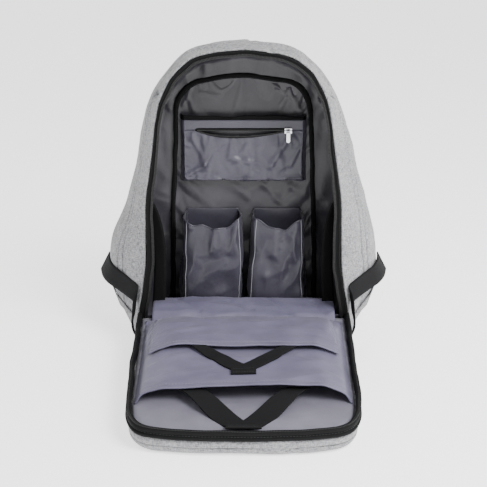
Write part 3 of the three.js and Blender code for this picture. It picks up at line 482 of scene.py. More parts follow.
# %% From a grid to a piece
def grid_mesh(name, P, around=False, rolled=False):
    P = np.asarray(P, float)
    rows, columns = P.shape[:2]
    full = np.concatenate([P, P[:, :1]], axis=1) if around else P
    full = np.concatenate([full, full[:1]], axis=0) if rolled else full
    across = np.cumsum(np.linalg.norm(np.diff(full, axis=1, prepend=full[:, :1]), axis=2), axis=1)
    along = np.cumsum(np.linalg.norm(np.diff(full, axis=0, prepend=full[:1]), axis=2), axis=0)
    across = across - across[:, -1:] / 2
    i, j = np.meshgrid(np.arange(full.shape[0] - 1), np.arange(full.shape[1] - 1), indexing="ij")
    corners = [(i, j), (i, j + 1), (i + 1, j + 1), (i + 1, j)]
    faces = np.stack([(a % rows) * columns + b % columns for a, b in corners], axis=-1).reshape(-1, 4)
    weave = [np.stack([across[a, b], along[a, b]], axis=-1) for a, b in corners]
    weave = np.stack(weave, axis=2).reshape(-1, 2)
    mesh = bpy.data.meshes.new(name)
    mesh.from_pydata((P.reshape(-1, 3) * MM + (0, HINGE_Y, 0)).tolist(), [], faces.tolist())
    mesh.uv_layers.new(name="weave").data.foreach_set("uv", (weave * MM).ravel())
    obj = bpy.data.objects.new(name, mesh)
    bpy.context.scene.collection.objects.link(obj)
    return obj


def baked(obj):
    """The object with its modifiers worked into its mesh."""
    bpy.context.view_layer.update()
    made = bpy.data.meshes.new_from_object(obj.evaluated_get(bpy.context.evaluated_depsgraph_get()))
    obj.modifiers.clear()
    obj.data = made
    return obj


def thickened(obj, thickness, offset=-1.0):
    solid = obj.modifiers.new("thickness", "SOLIDIFY")
    solid.thickness, solid.offset = thickness * MM, offset
    return baked(obj)


def welded(parts, name, gap):
    """Several pieces of one cloth joined, with the vertices that meet made one."""
    work = bmesh.new()
    for part in parts:
        work.from_mesh(part.data)
        bpy.data.objects.remove(part)
    bmesh.ops.remove_doubles(work, verts=work.verts, dist=gap * MM)
    mesh = bpy.data.meshes.new(name)
    work.to_mesh(mesh)
    work.free()
    obj = bpy.data.objects.new(name, mesh)
    bpy.context.scene.collection.objects.link(obj)
    return obj


def dress(obj, material, slot_name, *nodes):
    """Gives a piece its finish and lets it stand for its CAD nodes; slot_name is not used."""
    obj.data.materials.clear()
    obj.data.materials.append(material)
    obj.data.shade_smooth()
    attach(obj, "bag")
    if nodes:
        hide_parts(*nodes)
    return obj


def cloth(name, P, thickness, material, slot_name, nodes=(), around=False,
          offset=-1.0):
    """A sheet of cloth from its grid: thickened and dressed."""
    obj = thickened(grid_mesh(name, P, around), thickness, offset)
    dress(obj, material, slot_name, *nodes)
    return obj


# %% [markdown]
# Zip teeth and stitches are small blocks spaced along a line.

# %% Teeth and stitches
def facing_out(obj, fill=True):
    """Fills the ends of a hollow piece and turns all its faces outwards."""
    work = bmesh.new()
    work.from_mesh(obj.data)
    if fill:
        bmesh.ops.holes_fill(work, edges=[e for e in work.edges if e.is_boundary], sides=0)
    bmesh.ops.recalc_face_normals(work, faces=work.faces)
    work.to_mesh(obj.data)
    work.free()
    return obj


def along_line(line, pitch):
    """Points every pitch along a line, with the direction of the line at each."""
    line = np.asarray(line, float)
    run = np.concatenate([[0], np.cumsum(np.linalg.norm(np.diff(line, axis=0), axis=1))])
    at = np.arange(pitch / 2, run[-1], pitch)
    points, ahead = (np.stack([np.interp(place, run, line[:, k]) for k in range(3)], axis=1)
                     for place in (at, np.minimum(at + pitch / 2, run[-1])))
    tangent = ahead - points
    return points, tangent / np.maximum(np.linalg.norm(tangent, axis=1, keepdims=True), 1e-9)


def blocks_along(name, lines, out, size, pitch, material, slot_name):
    """Small blocks of size (along, across, out) every pitch along some lines: zip teeth, or stitches."""
    corners = np.array([(a, b, c) for a in (-0.5, 0.5) for b in (-0.5, 0.5) for c in (-0.5, 0.5)]) * size
    quads = np.array([(0, 1, 3, 2), (4, 6, 7, 5), (0, 4, 5, 1), (2, 3, 7, 6), (0, 2, 6, 4), (1, 5, 7, 3)])
    points, faces = [], []
    for line in lines:
        at, tangent = along_line(line, pitch)
        up = np.broadcast_to(np.asarray(out, float), at.shape)
        side = np.cross(up, tangent)
        side /= np.maximum(np.linalg.norm(side, axis=1, keepdims=True), 1e-9)
        for place, t, s, o in zip(at, tangent, side, up):
            faces.append(quads + 8 * len(points))
            points.append(place + corners[:, :1] * t + corners[:, 1:2] * s + corners[:, 2:] * o)
    mesh = bpy.data.meshes.new(name)
    at = np.concatenate(points) * MM + (0, HINGE_Y, 0)
    mesh.from_pydata(at.tolist(), [], np.concatenate(faces).tolist())
    obj = facing_out(bpy.data.objects.new(name, mesh), fill=False)
    bpy.context.scene.collection.objects.link(obj)
    dress(obj, material, slot_name)
    obj.data.shade_flat()
    return obj


# %% [markdown]
# ## The shell
# The shell is sewn from padded melange cloth. Its skin runs from the mouth over the belly to the closed
# front. A double-stitched seam runs round it behind the mouth, and the cloth buckles in a few short
# creases at the crown and down the sides.

# %% Shell
OVER, UNDER = ((300, 60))


def body_skin(places):
    """Rings of the body's outer face, read between the rows of body_sections."""
    rings = []
    for depth, belly, wide, high, sill in smooth_between(body_sections, places):
        half = lerp(OPENING_HALF + RIM_MARGIN, BELLY_HALF, belly) * wide
        top = lerp(OPENING_TOP + RIM_MARGIN, BODY_TOP, belly) * high
        bottom = (OPENING_SILL - RIM_MARGIN) * max(sill, 0)
        outline = [(up, lerp(opening, full, belly)) for up, opening, full in body_outline]
        ring = closed_arch(outline, half, bottom, top, OVER, UNDER)
        flatter = smoothstep(ring[:, 1], 120, 190) * (1 - smoothstep(ring[:, 1], 230, 340)) * (ring[:, 0] < 0)
        ring[:, 0] += LEFT_FLATTER * flatter * smoothstep(depth, 0.02, 0.3)
        rings.append(np.stack([ring[:, 0], np.full(len(ring), depth * BODY_DEPTH), ring[:, 1]], axis=1))
    return np.array(rings)


SIDE_SEAM_Y = 34
places = np.linspace(0, len(body_sections) - 1, 84)
section_depths = [row[0] * BODY_DEPTH for row in body_sections]
seam_places = np.interp(np.arange(-10, 11) * 0.8 + SIDE_SEAM_Y, section_depths, range(len(section_depths)))
skin = body_skin(np.sort(np.concatenate([places[np.abs(places - seam_places.mean()) > 0.2], seam_places])))
centre = np.array([0, BODY_DEPTH + 1.0, 0.45 * BODY_TOP])
cap = [lerp(skin[-1], centre, share) for share in (0.15, 0.35, 0.55, 0.75, 0.9, 0.98)]
skin = np.concatenate([skin, cap])
outward = -normals_of(skin, around=True)
outward[skin[:, :, 1] < 0.01] *= (1, 0, 1)

seam_at = [np.abs(skin[:, 0, 1] - SIDE_SEAM_Y - side).argmin() for side in (-4.4, 0, 4.4)]
seam_rows = [skin[row][:OVER] for row in seam_at]
# Rows of (start, end, depth, width) of each crease
creases = [
    ((10, 0, 400), (10, 60, 412), 2.2, 2.6), ((36, 0, 402), (32, 20, 410), 2.6, 3),
    ((35, 30, 414), (28, 30, 403), 1.8, 3), ((76, 30, 396), (84, 30, 384), 1.8, 4),
    ((114, 30, 344), (138, 30, 331), 6.0, 3.6), ((-130, 30, 350), (-108, 30, 343), 6.0, 3.6),
    ((-176, 30, 159), (-140, 30, 158), 1.8, 3), ((150, 20, 64), (182, 30, 76), 2.0, 5),
    ((-150, 20, 60), (-184, 30, 74), 2.0, 5), ((150, 20, 200), (172, 30, 232), 1.8, 7),
    ((-146, 20, 236), (-168, 30, 204), 1.8, 7), ((-112, 20, 362), (-96, 30, 376), 1.8, 5),
    ((150, 20, 120), (186, 30, 128), 1.6, 6), ((96, 20, 372), (112, 30, 360), 1.6, 5),
]
for seam_row in (seam_rows[0], seam_rows[2]):
    skin = pressed(skin, outward, seam_row[::4], -2.0, 1.3)
skin = creased(skin, -outward, creases, (1, 0.25, 1))
inner_share = smoothstep(skin[:, :, 1], 1, 16)
skin = folded(skin, outward, 38, 2.4, (1, 1, 1.8), 2.1, inner_share)
skin = folded(skin, outward, 13, 0.7, (1, 1, 2.2), 6.1, inner_share)
skin[:, :, 2] = np.maximum(skin[:, :, 2], 0)

shell = cloth("shell_cloth", skin, 3, outer_cloth, "melange_polyester", ["shell"], around=True, offset=1.0)
for side, seam_row in (("near", skin[seam_at[0]][:OVER]), ("far", skin[seam_at[2]][:OVER])):
    blocks_along(f"side_seam_stitches_{side}", [seam_row], FORWARD, (3.2, 1.5, 1.6), 3.8, seam_thread,
                 "melange_polyester")
print("shell", len(shell.data.polygons), "faces, side seam", round(along_length(seam_rows[1])), "mm long")

# %% [markdown]
# ## Lining of the cavity
# The lining follows the shell a wall's thickness inside it and closes behind the board. It is loose cloth:
# it hangs in long folds down both sides.

# %% Cavity lining
def taken_in(grid, distance):
    inward = normals_of(grid, around=True)
    inward[0] *= (1, 0, 1)
    return grid + inward / np.linalg.norm(inward, axis=2, keepdims=True) * distance


section_shares = [row[0] for row in body_sections]
deep = np.interp((CAVITY_DEPTH - CAVITY_CORNER) / BODY_DEPTH, section_shares, range(len(section_shares)))
around_cavity = taken_in(body_skin(np.linspace(0, deep, 64)), CAVITY_INSET)
last = around_cavity[-1]
middle = last.mean(axis=0)
to_middle = (middle - last) / np.linalg.norm(middle - last, axis=1, keepdims=True)
corner = []
for turn in np.linspace(0.15, 1, 8) * math.pi / 2:
    ring = last + to_middle * CAVITY_CORNER * (1 - math.cos(turn))
    ring[:, 1] = last[:, 1] + CAVITY_CORNER * math.sin(turn)
    corner.append(ring)
back_middle = middle * SEE_FRONT + (0, corner[-1][0, 1], 0)
back = [lerp(corner[-1], back_middle, share) for share in np.linspace(0.06, 0.99, 22)]
bowl = np.concatenate([around_cavity, corner, back])
inward = normals_of(bowl, around=True)
loose = smoothstep(bowl[:, :, 1], 5, 30) * (1 - smoothstep(np.abs(bowl[:, :, 2] - 210), 190, 206))
fold_height = loose * lerp(5.5, 3.2, smoothstep(bowl[:, :, 2], 150, 260))
bowl = folded(bowl, inward, 19, 1.0, (1, 1.2, 3.4), 4.4, fold_height)
sewn = np.zeros(bowl.shape[:2], bool)
sewn[:2], sewn[-3:] = True, True
sewn[:, OVER::12] = True
bowl = settled(bowl, sewn, growth=0.05, limit=3.5, around=True)
lining_folds = [
    ((91, 60, 320), (84, 110, 300), 3.4, 4), ((116, 60, 333), (108, 110, 322), 3.4, 4),
    ((125, 60, 302), (118, 100, 290), 3, 4), ((-116, 60, 330), (-104, 110, 312), 3.4, 4),
    ((-124, 60, 296), (-112, 100, 284), 3, 4), ((-136, 20, 180), (-126, 90, 120), 4, 6),
    ((132, 20, 230), (120, 105, 160), 3.4, 6), ((-130, 20, 262), (-118, 105, 190), 3.4, 6),
    ((136, 20, 150), (128, 90, 96), 4, 6), ((-60, 40, 392), (-52, 100, 366), 2.4, 6),
    ((30, 40, 398), (40, 100, 372), 2.4, 6), ((84, 40, 376), (76, 100, 350), 2.6, 5),
]
bowl = creased(bowl, inward, lining_folds, (1, 0.3, 1))

lining = cloth("cavity_cloth", bowl, 1, cavity_shaded_satin, "dark_lining", ["cavity_lining"],
               around=True)
print("lining", len(lining.data.polygons), "faces")

# %% [markdown]
# ## Zips and bindings
# A zip tape or a binding is a closed profile swept along an arch. Its profile is drawn as rows of how far in
# from the arch and how far out from the cloth. Piping and rolled hems are round tubes along a line.

# %% Sweeps and piping
TUBE_SIDES = 8


def swept(name, edge_at, profile, place, around=False):
    """Rows of (inset, out) swept along edge_at(inset); place(points, out) gives where they are."""
    rows = smooth_between(profile + profile[:1], np.linspace(0, len(profile), 3 * len(profile) + 1)[:-1])
    P = np.array([place(edge_at(inset), out) for inset, out in rows])
    obj = grid_mesh(name, P, around=around, rolled=True)
    return facing_out(obj)


def tube_along(name, line, radius, material, slot_name):
    """A round piping or rolled hem of one radius along a line."""
    line = np.asarray(line, float)
    tangent = np.gradient(line, axis=0)
    tangent /= np.linalg.norm(tangent, axis=1, keepdims=True)
    side = np.cross(tangent, (0.0, 0.31, 0.95))
    side /= np.linalg.norm(side, axis=1, keepdims=True)
    up = np.cross(side, tangent)
    turns = np.arange(TUBE_SIDES) / TUBE_SIDES * 2 * math.pi
    P = np.array([line + radius * (math.cos(t) * side + math.sin(t) * up) for t in turns])
    dress(facing_out(grid_mesh(name, P, rolled=True)), material, slot_name)


# %% [markdown]
# The opening's zip tape is sewn round the mouth from one foot to the other. Its outer edge is turned over
# into a welt, and the coil runs along its inner edge.

# %% Zip of the opening
# Vector noise starts from the clock unless it is seeded
noise.seed_set(7)
STEPS = 420
opening_outline = [(up, opening) for up, opening, belly in body_outline]


def uneven(points, size, height, seed):
    """A line that soft cloth has pulled a little out of true."""
    shift = [noise.noise_vector(Vector((p[0] / size, p[1] / size, seed))) for p in points]
    calm = np.minimum(1, np.minimum(np.arange(len(points)), np.arange(len(points))[::-1]) / 12)
    return points + np.array([(s.x, s.y) for s in shift]) * height * calm[:, None]


def opening_edge(inset):
    """The mouth's edge; the black band narrows from its feet to its crown, and its extra width low down is
    painted shadow.
    """
    outer = arch(opening_outline, OPENING_HALF, OPENING_SILL, OPENING_TOP, STEPS)
    inner = arch(opening_outline, OPENING_HALF - 10, OPENING_SILL, OPENING_TOP - 10, STEPS)
    high = smoothstep(outer[:, 1], 90, 300)[:, None]
    return uneven(lerp(outer, inner, inset / 10 * lerp(0.92, 0.58, high)), 26, 2.0, 1.5)


def on_wall(y):
    return lambda points, out: np.stack([points[:, 0], np.full(len(points), y - out), points[:, 1]], axis=1)


mouth_profile = [
    (-1.5, 0), (-1.8, 1.2), (0.2, 2.2), (3, 1.5), (6, 1.4), (7.2, 2.8), (9, 3.2), (10.4, 2.2), (10.2, 0),
]
mouth_tape = swept("mouth_zip_tape", opening_edge, mouth_profile, on_wall(-0.2))
dress(mouth_tape, zip_cloth, "black_zip_tape", "opening_zip")
coil_line = on_wall(-3.4)(opening_edge(8.8), 0)
blocks_along("mouth_zip_coil", [coil_line], FORWARD, (0.9, 3.4, 0.9), 1.7, coil_nylon, "black_zip_tape")
print("mouth zip swept through", STEPS, "steps")

# %% [markdown]
# ## The organiser board
# A stiff board covered in the lining's cloth stands against the closed front, bound in black ribbon round
# its arch. The cloth over it has a few creases where it was folded round the stiffener.

# %% Board and binding
def half_at(outline, half, foot, crown, heights):
    """Half the width of an arch at some heights."""
    over = arch(outline, half, foot, crown, 800)[:400]
    return np.interp(heights, over[:, 1], over[:, 0])


def crowned(foot, crown, count):
    """Heights from foot to crown that crowd together near the crown."""
    return lerp(foot, crown, 1 - (1 - np.linspace(0, 1, count)) ** 1.7)


ROWS, COLUMNS = ((110, 90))
heights = crowned(BOARD_FOOT, BOARD_TOP - 0.4, ROWS)
widths = half_at(board_outline, BOARD_HALF, BOARD_FOOT, BOARD_TOP, heights)
across = np.linspace(-1, 1, COLUMNS)
board = np.stack([widths[:, None] * across, np.full((ROWS, COLUMNS), BOARD_FACE),
                  heights[:, None] + 0 * across], axis=-1)
board_creases = [
    ((57, 0, 341), (79, 0, 306), 2.0, 2.4), ((38, 0, 344), (70, 0, 323), 1.6, 2.6),
    ((64, 0, 337), (75, 0, 303), 1.8, 2), ((-72, 0, 340), (-84, 0, 312), 1.6, 2.6),
    ((-60, 0, 330), (-20, 0, 322), 1.0, 4), ((-60, 0, 204), (-36, 0, 176), 1.6, 4),
    ((24, 0, 204), (52, 0, 174), 1.8, 4), ((60, 0, 200), (88, 0, 186), 1.6, 4),
    ((-14, 0, 202), (6, 0, 180), 1.4, 5),
]
board = folded(board, FORWARD, 42, 1.6, (1.4, 1, 1), 3.3)
board = settled(board, border(board), growth=0.03, limit=2.0)
board = creased(board, FORWARD, board_creases, SEE_FRONT)
board[:, :, 1] = np.clip(board[:, :, 1], BOARD_FACE - 2.4, BOARD_FACE + 0.6)
cloth("board_cloth", board, 3.4, cavity_shaded_satin, "dark_lining", ["organiser_board"])


def board_edge(inset):
    edge = arch(board_outline, BOARD_HALF - inset, BOARD_FOOT, BOARD_TOP - inset, STEPS)
    return uneven(edge, 30, 1.6, 4.5)


binding_profile = [
    (-1.2, -2), (-1.4, 0.8), (-0.4, 2.4), (1.4, 3), (3.4, 2.7), (4.8, 1.8), (5, 0.2), (2, -0.4),
]
binding = swept("board_ribbon", board_edge, binding_profile, on_wall(SEWN_ON))
dress(binding, ribbon_cloth, "black_zip_tape", "board_binding")
stitch_line = on_wall(SEWN_ON - 2.7)(board_edge(3.8), 0)
blocks_along("board_ribbon_stitches", [stitch_line], FORWARD, (2.2, 0.5, 0.4), 3.4, black_thread,
             "black_zip_tape")
print("board", ROWS, "by", COLUMNS)

# %% [markdown]
# The flat pocket is satin, turned back to the board at its sides and foot. Its zip runs along a slit under
# the top edge, and the cloth below the slit sags a little.

# %% Flat pocket
POCKET_FACE = SEWN_ON - POCKET_PROUD


def crowded(count):
    """Shares from 0 to 1 that lie closer together at both ends."""
    return (1 - np.cos(math.pi * np.linspace(0, 1, count))) / 2


def slit_outline(grow):
    """The slit as a closed line, straight above and sagging below, widened all round by grow."""
    half = SLIT_HALF + grow
    def bend(a, b, c, count):
        t = np.linspace(0, 1, count, endpoint=False)[:, None]
        return (1 - t) ** 2 * np.array(a) + 2 * t * (1 - t) * np.array(b) + t * t * np.array(c)
    start, end = (-half + grow + 2, SLIT_Z + grow), (half - grow - 2, SLIT_Z + grow)
    return np.concatenate([
        bend((-half, SLIT_Z), (-half, SLIT_Z + grow), start, 8),
        lerp(np.array(start), np.array(end), np.linspace(0, 1, 60, endpoint=False)[:, None]),
        bend(end, (half, SLIT_Z + grow), (half, SLIT_Z), 8),
        bend((half, SLIT_Z), (-half / 3, SLIT_Z - 2 * SLIT_DROP - 1.6 * grow), (-half, SLIT_Z), 80),
    ])


def slit_foot(x):
    """The height of the slit's lower lip at x."""
    lower = slit_outline(0)[-80:][::-1]
    return np.interp(x, lower[:, 0], lower[:, 1], left=SLIT_Z, right=SLIT_Z)


def turned_out(from_edge):
    return np.sqrt(np.clip(from_edge / POCKET_TURN, 0, 1))


def pocket_grid(low, high, rows, half=POCKET_HALF, foot=POCKET_FOOT, face=POCKET_FACE):
    """The pocket's face between two edges low(x) and high(x)."""
    x = lerp(-half, half, crowded(COLUMNS)) + np.zeros((rows, 1))
    z = lerp(low(x), high(x), np.linspace(0, 1, rows)[:, None])
    out = turned_out(np.minimum(half - np.abs(x), z - foot))
    return np.stack([x, lerp(SEWN_ON - 0.8, face, out), z], axis=-1)


lower = pocket_grid(lambda x: POCKET_FOOT + 0 * x, slit_foot, 40)
upper = pocket_grid(lambda x: SLIT_Z + 0 * x, lambda x: POCKET_TOP + 0 * x, 8)
full = 1 - np.abs(lower[:, :, 0] / POCKET_HALF) ** 6
full = full * smoothstep(lower[:, :, 2], POCKET_FOOT, POCKET_FOOT + 16)
lower = folded(lower, FORWARD, 26, 2.2, (1.7, 1, 1), 5.1, full)
lower = settled(lower, border(lower), growth=0.05, limit=3.0)
pocket_creases = [
    ((65, 0, 272), (37, 0, 229), 2.2, 3.4), ((79, 0, 257), (66, 0, 230), 1.6, 3),
    ((-89, 0, 210), (-54, 0, 231), 2.2, 3.4), ((-54, 0, 231), (-40, 0, 254), 1.8, 3),
    ((-19, 0, 241), (16, 0, 234), 1.4, 4), ((-70, 0, 268), (-58, 0, 244), 1.5, 3),
]
lower = creased(lower, FORWARD, pocket_creases, SEE_FRONT)
pocket = welded([grid_mesh("pocket_lower", lower), grid_mesh("pocket_upper", upper)], "pocket_cloth", 0.3)
thickened(pocket, 1.0)
dress(pocket, pocket_shaded_satin, "dark_lining", "flat_pocket")

foot, top, half = POCKET_FOOT + 4, POCKET_TOP - 0.4, POCKET_HALF - 4
behind = pocket_grid(lambda x: foot + 0 * x, lambda x: top + 0 * x, 24, half, foot, POCKET_FACE + 7)
near_top = smoothstep(behind[:, :, 2], SLIT_Z - 3, top) * turned_out(half - np.abs(behind[:, :, 0]))
behind[:, :, 1] = lerp(behind[:, :, 1], POCKET_FACE + 2, near_top)
cloth("pocket_divider_cloth", behind, 0.8, cavity_shaded_satin, "dark_lining", ["pocket_divider"])

# %% [markdown]
# The slit's narrow zip has its tape round the slit and its coil along both lips, and a black ribbon binds
# the open top of the slip pocket above it.

# %% Zip of the flat pocket and lip of the slip pocket
TAPE_Y = POCKET_FACE - 0.3
slit_profile = [(-0.4, 0), (-0.6, 1.1), (1.2, 1.5), (3, 1.2), (3.4, 0.1), (2, -0.3)]
slit_tape = swept("pocket_zip_tape", slit_outline, slit_profile, on_wall(TAPE_Y), around=True)
dress(slit_tape, zip_cloth, "black_zip_tape", "slit_zip_tape")
slit_line = on_wall(TAPE_Y - 1.6)(slit_outline(0.5), 0)
blocks_along("pocket_zip_coil", [slit_line], FORWARD, (0.8, 1.8, 0.6), 1.5, coil_nylon, "black_zip_tape")

lip_profile = [
    (-0.5, 0.6), (0.4, 1.1), (2.5, 1.3), (4.4, 1.0), (5.2, 0), (4.6, -1.1), (2.5, -1.4), (0.4, -1.3),
]
lip_x = lerp(-POCKET_HALF, POCKET_HALF, crowded(COLUMNS))
lip_y = lerp(SEWN_ON - 0.8, POCKET_FACE, turned_out(POCKET_HALF - np.abs(lip_x)))
lip_wave = 0.8 * np.sin(lip_x / 17) + 0.6 * np.sin(lip_x / 7.3 + 1)
lip = grid_mesh("slip_pocket_ribbon", np.array([
    np.stack([lip_x, lip_y - out + 0.3 * lip_wave, POCKET_TOP + 0.4 + up + lip_wave * (up > 3)], axis=1)
    for up, out in smooth_between(lip_profile + lip_profile[:1], np.linspace(0, 8, 24, endpoint=False))
]), rolled=True)
dress(facing_out(lip), ribbon_cloth, "black_zip_tape", "slip_lip")

for name, finish in (("zip_slider", plated_zinc), ("zip_pull", plated_zinc),
                     ("strap_buckle_left", buckle_acetal), ("strap_buckle_right", buckle_acetal)):
    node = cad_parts[name]
    node.data.materials.clear()
    node.data.materials.append(finish)
print("pocket zip and lip made")

# %% [markdown]
# ## Pouches
# Two open pouches of satin stand at the foot of the board. Each is a soft box whose mouth sags in front,
# with piping up its side edges, drawn pale as a painted highlight.

# %% Pouches
# Rows of (height share, half width share, depth share)
pouch_rows = [(0.0, 0.94, 0.86), (0.2, 1.0, 1.0), (0.6, 0.99, 0.98), (1.0, 0.93, 0.88)]
ROUND, TALL = ((150, 60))


def pouch_ring(middle, half, up, wide, deep, seed):
    turn = np.linspace(0, 2 * math.pi, 721)
    sx, sy = (np.sign(v) * np.abs(v) ** 0.3 for v in (np.cos(turn), np.sin(turn)))
    x = middle + half * wide * sx
    y = SEWN_ON - POUCH_DEPTH * deep / 2 + POUCH_DEPTH * deep / 2 * sy
    sag = POUCH_SAG * (1 - sx * sx) * (sy < 0) * smoothstep(up, 0.5, 1)
    wave = 2.2 * np.sin(x / 9 + seed) + 1.4 * np.sin(x / 4.3 + 2 * seed)
    wave = wave * (sy < -0.2) * smoothstep(up, 0.7, 1)
    z = BOARD_FOOT + POUCH_HEIGHT * up - sag + wave
    ring = np.stack([x, y, z], axis=1)
    run = np.concatenate([[0], np.cumsum(np.linalg.norm(np.diff(ring[:, :2], axis=0), axis=1))])
    at = np.linspace(0, run[-1], ROUND, endpoint=False)
    return np.stack([np.interp(at, run, ring[:, k]) for k in range(3)], axis=1)


def make_pouch(name, node, left, right, seed, marks):
    middle, half = (left + right) / 2, (right - left) / 2
    shares = smooth_between(pouch_rows, np.interp(np.linspace(0, 1, TALL), [0, 0.2, 0.6, 1], range(4)))
    side = np.array([pouch_ring(middle, half, up, wide, deep, seed) for up, wide, deep in shares])
    foot = side[0].mean(axis=0)
    P = np.concatenate([[lerp(foot, side[0], share) for share in (0.03, 0.3, 0.6, 0.85, 0.96)], side])
    out = normals_of(P, around=True)
    soft = smoothstep(P[:, :, 2], BOARD_FOOT + 6, BOARD_FOOT + 40) * (P[:, :, 1] < SEWN_ON - 8)
    P = folded(P, out, 25, 4.6, (1, 1, 1.7), seed, soft)
    sewn = (P[:, :, 1] > SEWN_ON - 3) | (P[:, :, 2] < BOARD_FOOT + 4)
    P = settled(P, sewn, growth=0.06, limit=5.0, around=True, weight=1.0)
    P = creased(P, out * soft[..., None], marks, SEE_FRONT)
    P[:, :, 1] = np.minimum(P[:, :, 1], SEWN_ON - 2.8)
    cloth(name, P, 1.2, pouch_shaded_satin, "dark_lining", [node], around=True)
    rim = P[-1]
    front = rim[:, 1] < SEWN_ON - POUCH_DEPTH * 0.5
    order = np.argsort(rim[front][:, 0])
    tube_along(name + "_hem", rim[front][order] + (0, 0.4, 0), 1.1, pouch_shaded_satin, "dark_lining")
    for end, way in (("left", -1), ("right", 1)):
        corner = np.argmax(way * side[TALL // 2][:, 0] - side[TALL // 2][:, 1])
        tube_along(f"{name}_piping_{end}", P[8:, corner] + (0, -0.2, 0), 0.55, highlight_piping, "dark_lining")


left_marks = [((-78, 0, 184), (-74, 0, 150), 2.0, 4), ((-39, 0, 150), (-44, 0, 118), 2.2, 5),
              ((-12, 0, 148), (-18, 0, 116), 2.0, 4), ((-26, 0, 102), (-52, 0, 84), 1.6, 5)]
right_marks = [((13, 0, 156), (20, 0, 120), 2.0, 4), ((44, 0, 150), (40, 0, 112), 2.2, 5),
               ((67, 0, 140), (72, 0, 104), 2.0, 4), ((58, 0, 92), (30, 0, 80), 1.6, 5)]
make_pouch("pouch_cloth_left", "pouch_left", *LEFT_POUCH, 1.3, left_marks)
make_pouch("pouch_cloth_right", "pouch_right", *RIGHT_POUCH, 4.9, right_marks)
print("pouches made")

# %% [markdown]
# ## The panel
# The panel is a padded board of melange cloth. It lies flat, higher at the hinge than at its far end. Its
# edge has a seam along the middle, and its face is lined with pale satin.

# %% Pad and lining of the panel
def pad_top(y):
    return lerp(PAD_TOP_AT_HINGE, PAD_TOP_AT_END, np.clip(-y / PANEL_LENGTH, 0, 1))


def pad_foot(y):
    return lerp(PAD_FOOT_AT_HINGE, 0, np.minimum(np.clip(-y / PANEL_LENGTH, 0, 1) / PAD_LIES_FROM, 1))


def panel_ring(inset, up):
    points = closed_arch(panel_outline, PANEL_HALF - inset, 1, PANEL_LENGTH - inset, OVER, UNDER)
    y = -points[:, 1]
    return np.stack([points[:, 0], y, lerp(pad_foot(y), pad_top(y), up)], axis=1)


# Rows of (height share, inset): a soft edge with a seam at half its height
pad_profile = [
    (0.0, 17), (0.02, 11), (0.12, 5.5), (0.3, 2.2), (0.45, 1.6), (0.5, 3.2), (0.55, 1.4), (0.75, 0.8),
    (0.92, 1.8), (1.0, 5),
]
pad_at = np.linspace(0, len(pad_profile) - 1, 40)
edge_rows = [panel_ring(inset, up) for up, inset in smooth_between(pad_profile, pad_at)]
pad_middle_low = np.array([0, -PANEL_LENGTH / 2, pad_foot(-PANEL_LENGTH / 2)])
pad_middle_high = np.array([0, -PANEL_LENGTH / 2, pad_top(-PANEL_LENGTH / 2)])
under = [lerp(pad_middle_low, edge_rows[0], share) for share in (0.02, 0.3, 0.6, 0.85, 0.96)]
above = [lerp(edge_rows[-1], pad_middle_high, share) for share in (0.04, 0.3, 0.6, 0.98)]
pad = np.array(under + edge_rows + above)
pad[5:-4] = folded(pad[5:-4], normals_of(pad[5:-4], around=True), 30, 1.2, (1.4, 1.4, 1), 6.2)
pad[:, :, 2] = np.maximum(pad[:, :, 2], 0.2)
pad_piece = facing_out(grid_mesh("panel_cushion", pad, around=True))
dress(pad_piece, outer_cloth, "melange_polyester", "panel_pad")

RIM_IN = 6
reach = crowned(1, PANEL_LENGTH - RIM_IN - 0.4, ROWS)[::-1]
widths = half_at(panel_outline, PANEL_HALF - RIM_IN, 1, PANEL_LENGTH - RIM_IN, reach)
face = np.stack([widths[:, None] * across, -reach[:, None] + 0 * across,
                 (pad_top(-reach) + LINING_ABOVE_PAD)[:, None] + 0 * across], axis=-1)
face = folded(face, UPWARD, 30, 1.3, (1.6, 1, 1), 8.8, smoothstep(reach, 18, 40)[:, None])
flat_face = face[:, :, 2].copy()
face = settled(face, border(face), growth=0.04, limit=2.5, weight=-0.3)
face[:, :, 2] = np.maximum(face[:, :, 2], flat_face - 0.4)
cloth("panel_satin", face, 1.2, panel_satin_cloth, "pale_lining", ["panel_lining"])
print("panel pad and lining made")

# %% [markdown]
# The other half of the zip stands upright on the panel's edge: a bound seam below, the tape, and the coil
# along its top.

# %% Rim of the panel
def panel_edge(inset):
    edge = arch(panel_outline, PANEL_HALF - inset, 3.4, PANEL_LENGTH - inset, STEPS)
    return uneven(edge, 34, 1.8, 7.5)


def on_pad(points, above):
    y = -points[:, 1]
    return np.stack([points[:, 0], y, pad_top(y) + above], axis=1)


rim_profile = [
    (3, 0.2), (-0.6, 0.0), (-1.6, 1.4), (-1.5, 3.2), (0.2, 4.6), (0.2, 5.6), (-1.1, 7.0), (-1.0, 9.2),
    (0.6, 10.9), (2.8, 11.2), (4.8, 10.2), (5.4, 6), (5.3, 1),
]
rim = swept("panel_zip_tape", panel_edge, rim_profile, on_pad)
dress(rim, zip_cloth, "black_zip_tape", "panel_zip")
for name, inset, above, size, pitch, finish in (
        ("panel_zip_coil", 1.4, 11.3, (0.9, 2.8, 0.8), 1.7, coil_nylon),
        ("panel_zip_stitches", -0.2, 5.1, (2.2, 0.6, 0.5), 3.6, black_thread)):
    blocks_along(name, [on_pad(panel_edge(inset), above)], UPWARD, size, pitch, finish, "black_zip_tape")
print("rim swept")

# %% [markdown]
# The cloth from the cavity's floor runs over the sill onto the panel, creased where the two fold.

# %% Sill cloth
over_sill = OPENING_SILL - RIM_MARGIN + CAVITY_INSET + 2
